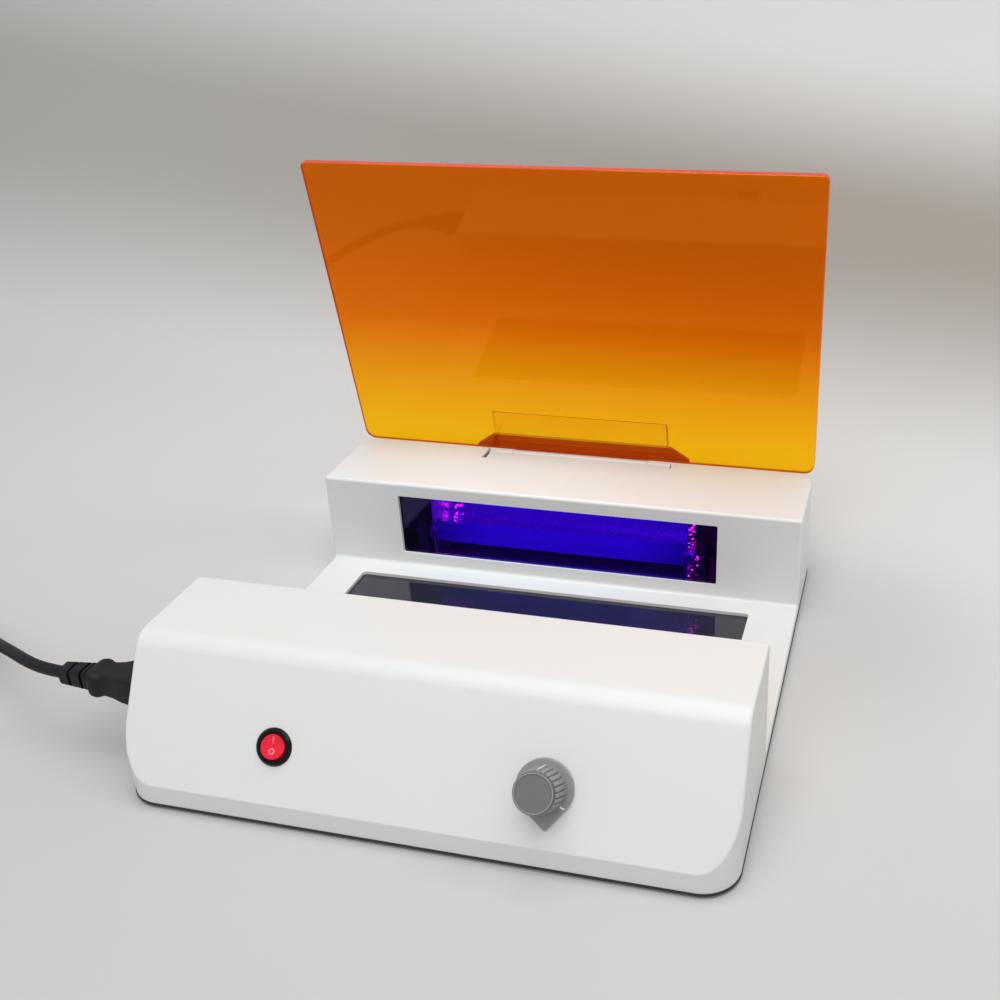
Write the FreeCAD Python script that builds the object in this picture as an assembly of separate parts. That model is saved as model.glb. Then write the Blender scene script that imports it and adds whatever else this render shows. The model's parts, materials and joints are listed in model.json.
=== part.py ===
import FreeCAD, Part
import math
import os

from FreeCAD import Matrix, Vector

# A bench transilluminator: a one-piece white shell with a control box in front, a lamp box behind and a
# low bed with a dark cutting glass between them, and an orange viewing cover hinged on the lamp box.
# Millimetres, +X to the right, +Y to the rear, +Z up, floor at Z 0, origin under the middle of the object.

# Stack under the shell
foot_h = 2.0
base_t = 1.6
base_inset = 0.8
foot_r = 7.0
foot_inset_x = 24.0
foot_inset_y = 26.0
foot_flare = 0.8
base_screw_inset = 40.0
base_screw_mid = 52.0
base_screw_l = 9.0
vent_count = 8
vent_pitch = 12.0
vent_w = 3.0
vent_l = 32.0
vent_r = 1.4

# Shell
trough_y = -70.8
body_w = 370.0
wall = 2.5
draft = 0.0105
front_l = 116.8
trough_l = 175.1
rear_l = 82.2
front_h = 87.8
rear_h = 76.0
bed_h = 6.4
panel_lean = 32.4
crown_back = 69.1
crown_r = 16.0
edge_r = 2.5
side_edge_r = 2.0
bed_front_r = 2.0
bed_rear_r = 3.0
trough_front_lean = 1.4
trough_rear_lean = 1.5
front_corner_r = 22.0
rear_corner_r = 18.0

# Windows in the shell
lamp_window_w = 248.0
lamp_window_low = 16.7
lamp_window_h = 48.7
lamp_window_r = 1.5
bed_window_w = 303.0
bed_window_front = 22.0
bed_window_back = 157.3
bed_window_r = 3.0

# Cutting glass and lamp filter
glass_lap = 8.0
bed_glass_t = 3.0
pad_t = 0.5
pad_w = 6.0
filter_t = 3.0
filter_lap = 5.5
rail_t = 1.5
rail_lip = 5.0

# Clearances
seat = 0.2
slip = 0.3
run = 0.05
snug = 0.02
screw_play = 0.1
face_gap = 0.05

# How far a cutting shape runs past what it cuts
cut_past = 10.0

# Cover and its hinge
cover_side = 1.0
cover_l = 233.0
cover_t = 5.0
cover_top_r = 4.0
cover_foot_r = 8.0
cover_lean = 11.5
cover_drop = 1.0
cover_clear = 0.6
knuckle_r = 4.0
hinge_pin_r = 1.5
knuckle_left = -69.7
knuckle_right = 73.5
knuckle_joint_left = -54.9
knuckle_joint_right = 55.0
notch_left = -72.5
notch_right = 74.3
notch_drop = 8.8
slot_w = 3.4
slot_l = 21.0
slit_w = 1.2
slit_l = 12.5
leaf_t = 2.2
leaf_h = 11.5
leaf_foot_w = 178.0
leaf_top_w = 146.0
stiffener_h = 22.0
stiffener_t = 2.0
arm_t = 2.5
hook_reach = 6.0
bracket_h = 26.0
bracket_t = 2.4
hinge_screw_x = 62.0

# Front panel controls, placed by x and by the distance down the panel from its upper corner line
control_s = 55.2
switch_x = -86.1
knob_x = 76.8
switch_bezel_r = 11.2
switch_bezel_h = 2.0
switch_barrel_r = 10.0
switch_depth = 15.0
rocker_r = 7.6
rocker_gap = 0.25
rocker_tilt = 8.0
rocker_pin_r = 1.0
terminal_w = 4.8
terminal_t = 0.8
terminal_l = 8.0
pot_r = 8.2
pot_depth = 8.5
bush_r = 3.5
shaft_r = 3.0
nut_af = 10.0
nut_t = 2.0
skirt_r = 16.5
skirt_low = 0.8
skirt_t = 2.4
skirt_turn = 7.0
barrel_foot_r = 13.1
barrel_top_r = 12.3
barrel_top = 21.6
flute_count = 24
flute_r = 0.75
cap_r = 11.6
cap_t = 2.6

# Mains inlet in the left end
inlet_y = -66.5
inlet_z = 51.0
flange_w = 31.0
flange_h = 24.4
flange_t = 2.4
inlet_w = 26.0
inlet_h = 19.6
inlet_depth = 24.0
shroud_t = 1.3
socket_depth = 16.0

# Lamp, from the lamp box's front wall
lamp_back = 18.0
lamp_z = 33.1
lamp_r = 8.0
lamp_l = 212.0
lamp_cap_l = 8.0
lamp_pin_l = 7.0
lamp_pin_r = 1.2
lamp_pin_gap = 4.4
reflector_r = 27.0
reflector_t = 0.8
reflector_end = 5.0
reflector_z = 48.6
holder_w = 20.0
holder_t = 8.0
bracket_steel = 1.2
tray_end = 6.0
tray_front = 13.0
tray_back = 36.0
tray_lip = 8.0

# Driver board in the control box
board_w = 118.0
board_d = 66.0
board_t = 1.6
board_x = -4.0
board_y = -54.0
standoff_h = 6.0
screw_r = 1.5
screw_head_r = 2.75
screw_head_h = 1.4
screw_rim = 0.5
cross_reach = 1.4
cross_half = 0.3
cross_depth = 0.7
screw_nut_af = 5.5
screw_nut_t = 2.4
block_size = 12.0
block_short = 0.5
standoff_r = 3.2
board_screw_inset = 5.0
board_corner_r = 2.0

# Components on the driver board, from the board's middle
choke_x = -25.0
choke_y = 8.0
choke_w = 26.0
choke_d = 24.0
choke_foot = 6.0
choke_lid = 5.0
winding_r = 9.0
winding_h = 9.0
can_x = 2.0
can_y = 12.0
can_pitch = 18.0
can_sizes = ((8.0, 24.0), (6.3, 18.0), (5.0, 16.0))
chip_x = -30.0
chip_y = -20.0
chip_w = 10.0
chip_t = 4.5
chip_h = 15.0
chip_pitch = 16.0
sink_x = -34.0
sink_w = 52.0
sink_y = -15.2
sink_t = 2.0
sink_h = 22.0
fin_t = 1.2
fin_l = 4.9
fin_pitch = 6.2
fin_count = 9
terminal_block_x = 46.0
terminal_block_w = 14.0
terminal_block_y = -16.0
terminal_block_d = 20.0
terminal_block_h = 10.0
terminal_hole_r = 1.6
terminal_pitch = 4.5

# Wires
mains_wire_r = 1.2
lamp_wire_r = 1.1
wire_bend = 5.0
wire_rise = 6.0
wire_floor = 1.6
wire_lane = 9.0
mains_wire_end = 7.5
mains_wire_out = 14.0
mains_wire_turn = 22.0
mains_wire_z = 30.0
mains_wire_y = -13.5
mains_wire_pitch = 5.0
block_gap = 0.2

# Mains lead: connector, cord and plug
cord_r = 4.0
connector_w = 25.0
connector_h = 20.0
connector_l = 40.0
relief_l = 19.5
coil_x = -428.0
coil_y = -92.8
coil_mid_r = 44.0
coil_w = 24.0
coil_h = 16.0
tie_t = 0.8
tie_gap = 0.4

foot_z = foot_h + base_t
front_y = trough_y - front_l
rear_wall_y = trough_y + trough_l
back_y = rear_wall_y + rear_l
top_z = foot_z + rear_h
lean = math.radians(panel_lean)
open_lean = math.radians(cover_lean)
hinge_y = back_y - draft * rear_h - knuckle_r
hinge_z = top_z - knuckle_r
cover_w = body_w - 2 * cover_side
reflector_w = lamp_l - 2 * reflector_end

parts = {}


def box(x, y, z):
    """A box between the pairs of limits x, y and z."""
    corner = Vector(x[0], y[0], z[0])
    return Part.makeBox(x[1] - x[0], y[1] - y[0], z[1] - z[0], corner)


def rod(radius, start, end):
    """A cylinder between two points."""
    along = end - start
    return Part.makeCylinder(radius, along.Length, start, along)


def corner_edges(points, radii, closed=True):
    """Straight edges through points, with each corner rounded by a tangent arc of its own radius."""
    count = len(points)
    starts, ends, arcs = [], [], []
    for i, corner in enumerate(points):
        loose_end = not closed and i in (0, count - 1)
        if loose_end or radii[i] <= 0:
            starts.append(corner)
            ends.append(corner)
            arcs.append(None)
            continue
        back = (points[i - 1] - corner).normalize()
        ahead = (points[(i + 1) % count] - corner).normalize()
        half = back.getAngle(ahead) / 2
        reach = radii[i] / math.tan(half)
        middle = (back + ahead).normalize()
        centre = corner + middle * (radii[i] / math.sin(half))
        starts.append(corner + back * reach)
        ends.append(corner + ahead * reach)
        arcs.append(centre - middle * radii[i])
    edges = []
    for i in range(count):
        if arcs[i] is not None:
            edges.append(Part.Arc(starts[i], arcs[i], ends[i]).toShape())
        follower = (i + 1) % count
        if (closed or i < count - 1) and (starts[follower] - ends[i]).Length > 1e-6:
            edges.append(Part.LineSegment(ends[i], starts[follower]).toShape())
    return edges


def loop(points, radii):
    """A closed wire with rounded corners."""
    return Part.Wire(corner_edges(points, radii))


def slab(wire, direction):
    """The solid that a flat closed wire sweeps along a direction."""
    return Part.Face(wire).extrude(direction)


def rectangle(x, y, z, radius):
    """A rounded rectangle in a level plane."""
    corners = [Vector(x[0], y[0], z), Vector(x[1], y[0], z), Vector(x[1], y[1], z), Vector(x[0], y[1], z)]
    return loop(corners, [radius] * 4)


def upright_rectangle(x, z, y, radius):
    """A rounded rectangle in a plane that faces the front."""
    corners = [Vector(x[0], y, z[0]), Vector(x[1], y, z[0]), Vector(x[1], y, z[1]), Vector(x[0], y, z[1])]
    return loop(corners, [radius] * 4)


def end_rectangle(half_w, half_h, x, y, z, radius):
    """A rounded rectangle in a plane that faces the left, about a centre."""
    corners = [Vector(x, y + side * half_w, z + rise * half_h)
               for side, rise in ((-1, -1), (1, -1), (1, 1), (-1, 1))]
    return loop(corners, [radius] * 4)


def turned(shape, point, axis, degrees):
    """A copy turned about an axis through a point."""
    copy = shape.copy()
    copy.rotate(point, axis, degrees)
    return copy


def moved(shape, x, y, z):
    copy = shape.copy()
    copy.translate(Vector(x, y, z))
    return copy


def eased(keys, steps):
    """Sections given as rows of numbers, with more between them on a smooth curve."""
    rows = []
    for low, high in zip(keys, keys[1:]):
        for k in range(steps):
            share = k / steps
            blend = (1 - math.cos(math.pi * share)) / 2
            rows.append([low[0] + (high[0] - low[0]) * share]
                        + [a + (b - a) * blend for a, b in zip(low[1:], high[1:])])
    return rows + [list(keys[-1])]


def joined(shapes):
    """One clean solid from overlapping ones."""
    first = shapes[0]
    return first.fuse(shapes[1:]).removeSplitter()


def add(name, shape):
    parts[name] = shape


def inset_corners(points, inset):
    """The corners of a closed outline in the YZ plane, moved inwards by an inset."""
    lines = []
    count = len(points)
    for i in range(count):
        a, b = points[i], points[(i + 1) % count]
        along = (b - a).normalize()
        inward = Vector(0, -along.z, along.y)
        lines.append((a + inward * inset, along))
    corners = []
    for i in range(count):
        (p, d), (q, e) = lines[i - 1], lines[i]
        cross = d.y * e.z - d.z * e.y
        t = ((q.y - p.y) * e.z - (q.z - p.z) * e.y) / cross
        corners.append(p + d * t)
    return corners


def plan_corners(height, inset):
    """Corners of the shell's outline at a height above its foot, moved in by an inset."""
    shrink = draft * height + inset
    half = body_w / 2 - shrink
    front, back = front_y + shrink, back_y - shrink
    z = foot_z + height
    return [Vector(-half, front, z), Vector(half, front, z), Vector(half, back, z), Vector(-half, back, z)]


def side_form(inset):
    """The drafted column that holds the shell's walls, from below its foot to over its top."""
    low = plan_corners(-12.0, inset)
    high = plan_corners(front_h + 12.0, inset)
    a, b, c, d = low[0], low[2], high[0], high[2]
    column = Part.makeWedge(a.x, a.z, -b.y, -d.y, c.x, b.x, c.z, -a.y, -c.y, d.x)
    column.rotate(Vector(0, 0, 0), Vector(1, 0, 0), 90)
    corners = [edge for edge in column.Edges if edge.BoundBox.ZLength > front_h]
    front = [edge for edge in corners if edge.BoundBox.Center.y < trough_y]
    rear = [edge for edge in corners if edge.BoundBox.Center.y > trough_y]
    column = column.makeFillet(front_corner_r - inset, front)
    rear = [edge for edge in column.Edges if any(same_line(edge, old) for old in rear)]
    return column.makeFillet(rear_corner_r - inset, rear)


def same_line(edge, other):
    """Whether two straight edges have the same ends."""
    ends = [vertex.Point for vertex in edge.Vertexes]
    others = [vertex.Point for vertex in other.Vertexes]
    if len(ends) != 2 or len(others) != 2:
        return False
    straight = max(ends[0].distanceToPoint(others[0]), ends[1].distanceToPoint(others[1]))
    crossed = max(ends[0].distanceToPoint(others[1]), ends[1].distanceToPoint(others[0]))
    return min(straight, crossed) < 1e-4


def profile_form(inset):
    """The side view of the shell as a bar: control box, bed and lamp box."""
    below = -30.0
    beyond = 40.0
    slope = math.tan(lean)
    ridge_y = trough_y - crown_back
    outline = [(back_y + beyond, below), (back_y + beyond, rear_h),
               (rear_wall_y + trough_rear_lean, rear_h), (rear_wall_y, bed_h),
               (trough_y + trough_front_lean, bed_h), (trough_y, front_h),
               (ridge_y, front_h), (ridge_y - (front_h - below) * slope, below)]
    half = body_w / 2 + 20.0
    corners = [Vector(-half, y, foot_z + z) for y, z in outline]
    corners = inset_corners(corners, inset)
    ridge, crown = edge_r - inset, crown_r - inset
    radii = [0, 0, ridge, bed_rear_r + inset, bed_front_r + inset, ridge, crown, 0]
    radii = [max(radius, 0) for radius in radii]
    return slab(loop(corners, radii), Vector(2 * half, 0, 0))


def panel_place(shape, x):
    """Seat a shape that is modelled about the origin, +Z outwards and +Y up the slope, on the panel."""
    y = trough_y - crown_back - control_s * math.sin(lean)
    z = foot_z + front_h - control_s * math.cos(lean)
    s, c = math.sin(lean), math.cos(lean)
    place = Matrix(1, 0, 0, x, 0, s, -c, y, 0, c, s, z, 0, 0, 0, 1)
    copy = shape.copy()
    copy.transformShape(place, True)
    return copy


def lean_with_lamp_wall(shape):
    """Turn a shape modelled upright at the lamp box's front wall to lie along it."""
    angle = math.degrees(math.atan2(trough_rear_lean, rear_h - bed_h))
    return turned(shape, Vector(0, rear_wall_y, foot_z + bed_h), Vector(1, 0, 0), -angle)


def lamp_window_span():
    half = lamp_window_w / 2
    low = foot_z + lamp_window_low
    return (-half, half), (low, low + lamp_window_h)


def make_shell():
    outer_side = side_form(0)
    outer_profile = profile_form(0)
    form = outer_side.common(outer_profile)
    floor = box((-body_w, body_w), (front_y - 50, back_y + 50), (-60, foot_z))
    form = form.cut(floor)
    side_skin = outer_side.Shells[0]
    profile_skin = outer_profile.Shells[0]
    rims = []
    for edge in form.Edges:
        middle = Part.Vertex(edge.valueAt((edge.FirstParameter + edge.LastParameter) / 2))
        if middle.Z < foot_z + 0.5:
            continue
        on_side = middle.distToShape(side_skin)[0] < 1e-3
        on_profile = middle.distToShape(profile_skin)[0] < 1e-3
        if on_side and on_profile:
            rims.append(edge)
    form = form.makeFillet(side_edge_r, rims)
    form = form.cut(side_form(wall).common(profile_form(wall)))

    span_x, span_z = lamp_window_span()
    window = slab(upright_rectangle(span_x, span_z, rear_wall_y - 10, lamp_window_r), Vector(0, 20, 0))
    half = bed_window_w / 2
    bed_span = (trough_y + bed_window_front, trough_y + bed_window_back)
    bed_window = slab(rectangle((-half, half), bed_span, foot_z, bed_window_r), Vector(0, 0, bed_h + 2))

    panel_hole = Part.makeCylinder(switch_barrel_r + run, 40, Vector(0, 0, -20))
    bush_hole = Part.makeCylinder(bush_r + run, 40, Vector(0, 0, -20))
    inlet_hole = slab(end_rectangle(inlet_w / 2 + seat, inlet_h / 2 + seat, -body_w / 2 - 5,
                                    trough_y + inlet_y, inlet_z, 2.0), Vector(15, 0, 0))

    rear_top_y = hinge_y + knuckle_r
    notch_front = hinge_y - knuckle_r - slip
    notch = box((notch_left, notch_right), (notch_front, back_y + 5), (top_z - notch_drop, top_z + 5))
    slot = box((notch_left - slot_w, notch_left + 0.1), (rear_top_y - slot_l, back_y + 5),
               (top_z - notch_drop, top_z + 5))
    slit = box((notch_right - 0.1, notch_right + slit_w), (rear_top_y - slit_l, back_y + 5),
               (top_z - notch_drop, top_z + 5))
    holes = [window, bed_window, panel_place(panel_hole, switch_x), panel_place(bush_hole, knob_x),
             inlet_hole, notch, slot, slit]
    holes += [rod(screw_r + run, Vector(x, back_y - 10, z), Vector(x, back_y + 5, z))
              for x, z in hinge_screw_places()]
    add("housing_shell", form.cut(holes))


def hinge_screw_places():
    z = top_z - notch_drop - bracket_h * 0.6
    return [(side * hinge_screw_x, z) for side in (-1, 1)]


def base_screw_places():
    """Centres of the screws that hold the base plate, four along the front and four along the rear."""
    inset = wall + seat + block_size / 2 + slip
    front, rear = front_y + inset, back_y - inset
    end = body_w / 2 - base_screw_inset
    return [(x, y) for y in (front, rear) for x in (-end, -base_screw_mid, base_screw_mid, end)]


def make_base():
    corner_radii = [front_corner_r, front_corner_r, rear_corner_r, rear_corner_r]
    outline = loop(plan_corners(0, base_inset), corner_radii)
    plate = slab(outline, Vector(0, 0, -base_t))
    holes = []
    for x, y in base_screw_places() + inner_screw_places():
        holes.append(rod(screw_r + screw_play, Vector(x, y, 0), Vector(x, y, cut_past)))
    vent_y = trough_y + board_y
    for row in range(vent_count):
        x = board_x + vent_pitch * (row - (vent_count - 1) / 2)
        span_x = (x - vent_w / 2, x + vent_w / 2)
        slot = rectangle(span_x, (vent_y - vent_l / 2, vent_y + vent_l / 2), 0, vent_r)
        holes.append(slab(slot, Vector(0, 0, cut_past)))
    add("base_plate", plate.cut(holes))

    half = body_w / 2 - foot_inset_x
    rows = (front_y + foot_inset_y, back_y - foot_inset_y)
    feet = []
    for x in (-half, half):
        for y in rows:
            foot = Part.makeCone(foot_r - foot_flare, foot_r, foot_h, Vector(x, y, 0))
            dimple = Part.makeCylinder(2.5, 1.0, Vector(x, y, 0))
            feet.append(foot.cut(dimple))
    add("rubber_feet", Part.makeCompound(feet))

    screws, blocks = [], []
    for x, y in base_screw_places():
        screws.append(make_screw(x, y, foot_h, base_screw_l))
        half_block = block_size / 2
        block = box((x - half_block, x + half_block), (y - half_block, y + half_block),
                    (foot_z, foot_z + block_size - block_short))
        bore_top = foot_z + block_size - 2.0
        bore = rod(screw_r + run, Vector(x, y, foot_z), Vector(x, y, bore_top))
        blocks.append(block.cut(bore))
    add("base_screws", Part.makeCompound(screws))
    add("screw_blocks", Part.makeCompound(blocks))


def make_screw(x, y, seat_z, length):
    """A pan head screw that goes up from under the base plate."""
    shank = Part.makeCylinder(screw_r, length, Vector(x, y, seat_z))
    head = Part.makeCylinder(screw_head_r, screw_head_h, Vector(x, y, seat_z - screw_head_h))
    rim = [edge for edge in head.Edges if edge.BoundBox.ZMax < seat_z - screw_head_h + 0.1]
    head = head.makeFillet(screw_rim, rim[:1])
    deep = (seat_z - 2, seat_z - screw_head_h + cross_depth)
    cross = box((x - cross_reach, x + cross_reach), (y - cross_half, y + cross_half), deep)
    other = box((x - cross_half, x + cross_half), (y - cross_reach, y + cross_reach), deep)
    return head.fuse(shank).cut([cross, other])


def make_windows():
    half = bed_window_w / 2 + glass_lap
    front = trough_y + bed_window_front - glass_lap
    back = trough_y + bed_window_back + glass_lap
    top = foot_z + bed_h - wall - seat
    low = top - bed_glass_t
    add("bed_glass", slab(rectangle((-half, half), (front, back), low, 1.0), Vector(0, 0, bed_glass_t)))
    pads = []
    pad_z = (low - pad_t - 0.05, low - 0.05)
    for y in (front + 1, back - 1 - pad_w):
        pads.append(box((-half + 1, half - 1), (y, y + pad_w), pad_z))
    for x in (-half + 1, half - 1 - pad_w):
        pads.append(box((x, x + pad_w), (front + 2 + pad_w, back - 2 - pad_w), pad_z))
    add("glass_pads", Part.makeCompound(pads))

    (x0, x1), (z0, z1) = lamp_window_span()
    x0, x1 = x0 - filter_lap, x1 + filter_lap
    z0, z1 = z0 - filter_lap, z1 + filter_lap
    near = rear_wall_y + wall + seat
    far = near + filter_t
    glass = slab(upright_rectangle((x0, x1), (z0, z1), near, 1.0), Vector(0, filter_t, 0))
    add("lamp_filter", lean_with_lamp_wall(glass))

    rails = []
    for edge_z, inward in ((z0, 1), (z1, -1)):
        sill = sorted((edge_z - inward * (rail_t + seat), edge_z - inward * seat))
        lip = sorted((edge_z - inward * (rail_t + seat), edge_z + inward * rail_lip))
        under = box((x0, x1), (near, far + seat + rail_t), sill)
        back_lip = box((x0, x1), (far + seat, far + seat + rail_t), lip)
        rails.append(joined([under, back_lip]))
    add("filter_rails", lean_with_lamp_wall(Part.makeCompound(rails)))


def cover_place(shape):
    """Stand a cover piece up. It is modelled lying closed, forward of the hinge, and turned open."""
    return turned(shape, Vector(0, hinge_y, hinge_z), Vector(1, 0, 0), -(90 - cover_lean))


def make_cover():
    low = hinge_z + knuckle_r + cover_clear
    high = low + cover_t
    rise = top_z - cover_drop - hinge_z + (knuckle_r + cover_clear) * math.sin(open_lean) * -1
    start = rise / math.cos(open_lean)
    rear = hinge_y - start
    front = rear - cover_l
    half = cover_w / 2
    corners = [Vector(-half, front, low), Vector(half, front, low), Vector(half, rear, low),
               Vector(-half, rear, low)]
    outline = loop(corners, [cover_top_r, cover_top_r, cover_foot_r, cover_foot_r])
    plate = slab(outline, Vector(0, 0, cover_t))
    bevel = [edge for edge in plate.Edges if abs(edge.BoundBox.ZLength) < 1e-6]
    plate = plate.makeChamfer(0.4, bevel)
    add("cover_plate", cover_place(plate))

    leaf_low = high + 0.05
    leaf_points = [Vector(-leaf_foot_w / 2, rear, leaf_low), Vector(leaf_foot_w / 2, rear, leaf_low),
                   Vector(leaf_top_w / 2, rear - leaf_h, leaf_low),
                   Vector(-leaf_top_w / 2, rear - leaf_h, leaf_low)]
    leaf = slab(loop(leaf_points, [0.8] * 4), Vector(0, 0, leaf_t))
    add("hinge_leaf", cover_place(leaf))

    clear_half = leaf_top_w / 2 - 2
    strip_rear = rear - leaf_h - seat
    strip_y = (strip_rear - stiffener_h, strip_rear)
    strip_outline = rectangle((-clear_half, clear_half), strip_y, leaf_low, 2.0)
    strip = slab(strip_outline, Vector(0, 0, stiffener_t))
    edges = [edge for edge in strip.Edges if edge.BoundBox.ZMin > leaf_low + stiffener_t - 0.01]
    add("cover_stiffener", cover_place(strip.makeChamfer(1.2, edges)))

    x0, x1 = knuckle_joint_left + slip / 2, knuckle_joint_right - slip / 2
    barrel = rod(knuckle_r, Vector(x0, hinge_y, hinge_z), Vector(x1, hinge_y, hinge_z))
    web_y = rear + slip
    hook_low = leaf_low + leaf_t + 0.05
    web = box((x0, x1), (web_y, web_y + arm_t), (hinge_z, hook_low + arm_t))
    hook = box((x0, x1), (web_y - hook_reach, web_y + arm_t), (hook_low, hook_low + arm_t))
    arm = joined([web, hook])
    ends = [edge for edge in arm.Edges if edge.BoundBox.XLength > x1 - x0 - 1
            and edge.BoundBox.ZMin > hook_low + arm_t - 0.01]
    moving = joined([cover_place(arm.makeFillet(1.2, ends)), barrel])
    bore = rod(hinge_pin_r + run, Vector(x0 - 1, hinge_y, hinge_z), Vector(x1 + 1, hinge_y, hinge_z))
    add("hinge_arm", moving.cut(bore))


def make_hinge_bracket():
    inner_y = back_y - wall - draft * rear_h
    for name, x0, x1 in (("hinge_bracket_left", knuckle_left, knuckle_joint_left - slip / 2),
                         ("hinge_bracket_right", knuckle_joint_right + slip / 2, knuckle_right)):
        barrel = rod(knuckle_r, Vector(x0, hinge_y, hinge_z), Vector(x1, hinge_y, hinge_z))
        bore = rod(hinge_pin_r + snug, Vector(x0 - 1, hinge_y, hinge_z), Vector(x1 + 1, hinge_y, hinge_z))
        leaf_y = (inner_y - seat - bracket_t, inner_y - seat)
        leaf_z = (top_z - notch_drop - bracket_h, hinge_z)
        leaf = box((x0, x1), leaf_y, leaf_z)
        holes = [rod(screw_r + run, Vector(x, leaf_y[0] - 2, z), Vector(x, leaf_y[1] + 2, z))
                 for x, z in hinge_screw_places()]
        add(name, joined([barrel, leaf]).cut([bore] + holes))
    add("hinge_pin", rod(hinge_pin_r, Vector(knuckle_left + 0.5, hinge_y, hinge_z),
                         Vector(knuckle_right - 0.5, hinge_y, hinge_z)))
    screws, nuts = [], []
    for x, z in hinge_screw_places():
        wall_y = back_y - draft * (z - foot_z)
        head = Part.makeCylinder(screw_head_r, screw_head_h, Vector(x, wall_y + 0.05, z), Vector(0, 1, 0))
        face_y = wall_y + 0.05 + screw_head_h
        rim = [edge for edge in head.Edges if edge.BoundBox.YMin > face_y - 0.01]
        head = head.makeFillet(screw_rim, rim[:1])
        shank = rod(screw_r, Vector(x, inner_y - seat - bracket_t - 4.0, z), Vector(x, wall_y + 0.5, z))
        deep = (face_y - cross_depth, face_y + 1)
        cross = box((x - cross_reach, x + cross_reach), deep, (z - cross_half, z + cross_half))
        other = box((x - cross_half, x + cross_half), deep, (z - cross_reach, z + cross_reach))
        screws.append(head.fuse(shank).cut([cross, other]))
        nut = hexagon_nut(screw_nut_af, screw_nut_t, screw_r + snug)
        nut = turned(nut, Vector(0, 0, 0), Vector(1, 0, 0), 90)
        nuts.append(moved(nut, x, inner_y - seat - bracket_t - 0.05, z))
    add("hinge_screws", Part.makeCompound(screws))
    add("hinge_nuts", Part.makeCompound(nuts))


def hexagon_nut(across, thick, bore_r):
    """A nut on the origin, standing on the XY plane."""
    reach = across / math.sqrt(3)
    turns = [math.pi * k / 3 for k in range(6)]
    corners = [Vector(reach * math.cos(turn), reach * math.sin(turn), 0) for turn in turns]
    body = slab(loop(corners, [0] * 6), Vector(0, 0, thick))
    return body.cut(Part.makeCylinder(bore_r, thick, Vector(0, 0, 0)))


def ring_of(profile_points):
    """A solid turned about the Z axis from points given as radius and height."""
    points = [Vector(r, 0, z) for r, z in profile_points]
    face = Part.Face(Part.makePolygon(points + points[:1]))
    return face.revolve(Vector(0, 0, 0), Vector(0, 0, 1), 360)


def make_switch():
    bore_r = rocker_r + rocker_gap
    outer = ring_of([(bore_r, switch_bezel_h), (switch_bezel_r - 1.2, switch_bezel_h),
                     (switch_bezel_r, 0.6), (switch_bezel_r, seat / 2), (switch_barrel_r, seat / 2),
                     (switch_barrel_r, -switch_depth), (0, -switch_depth), (0, -switch_depth + 2),
                     (bore_r, -switch_depth + 2)])
    pivot_z = 0.4
    pin = rod(rocker_pin_r + run, Vector(-9.0, 0, pivot_z), Vector(9.0, 0, pivot_z))
    half_w, half_t = terminal_w / 2, terminal_t / 2
    deep = (-switch_depth - 1, -switch_depth + 1.5)
    thin = (-half_t - run, half_t + run)
    slots = [box((x - half_w - run, x + half_w + run), thin, deep) for x in (-5.0, 5.0)]
    third = box(thin, (3.5, 3.5 + terminal_w + 2 * run), deep)
    add("switch_body", panel_place(outer.cut([pin, third] + slots), switch_x))

    ball = Part.makeSphere(rocker_r, Vector(0, 0, pivot_z))
    flat = 1.6
    slope = math.tan(math.radians(rocker_tilt))
    crest = [Vector(-10, -12, flat + pivot_z + 12 * slope), Vector(-10, 0, flat + pivot_z),
             Vector(-10, 12, flat + pivot_z + 12 * slope), Vector(-10, 12, 20), Vector(-10, -12, 20)]
    over = slab(loop(crest, [0, 14.0, 0, 0, 0]), Vector(20, 0, 0))
    under = box((-10, 10), (-10, 10), (-12, -4.2))
    rocker = ball.cut([over, under])
    pins = rod(rocker_pin_r, Vector(-8.8, 0, pivot_z), Vector(8.8, 0, pivot_z))
    rocker = joined([rocker, pins])
    rocker = turned(rocker, Vector(0, 0, pivot_z), Vector(1, 0, 0), -rocker_tilt)
    add("switch_rocker", panel_place(rocker, switch_x))

    blades = [box((x - terminal_w / 2, x + terminal_w / 2), (-terminal_t / 2, terminal_t / 2),
                  (-switch_depth - terminal_l, -switch_depth + 1.5)) for x in (-5.0, 5.0)]
    blades.append(box((-terminal_t / 2, terminal_t / 2), (3.5 + run, 3.5 + run + terminal_w),
                      (-switch_depth - terminal_l, -switch_depth + 1.5)))
    add("switch_terminals", panel_place(Part.makeCompound(blades), switch_x))
    return pivot_z


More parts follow.
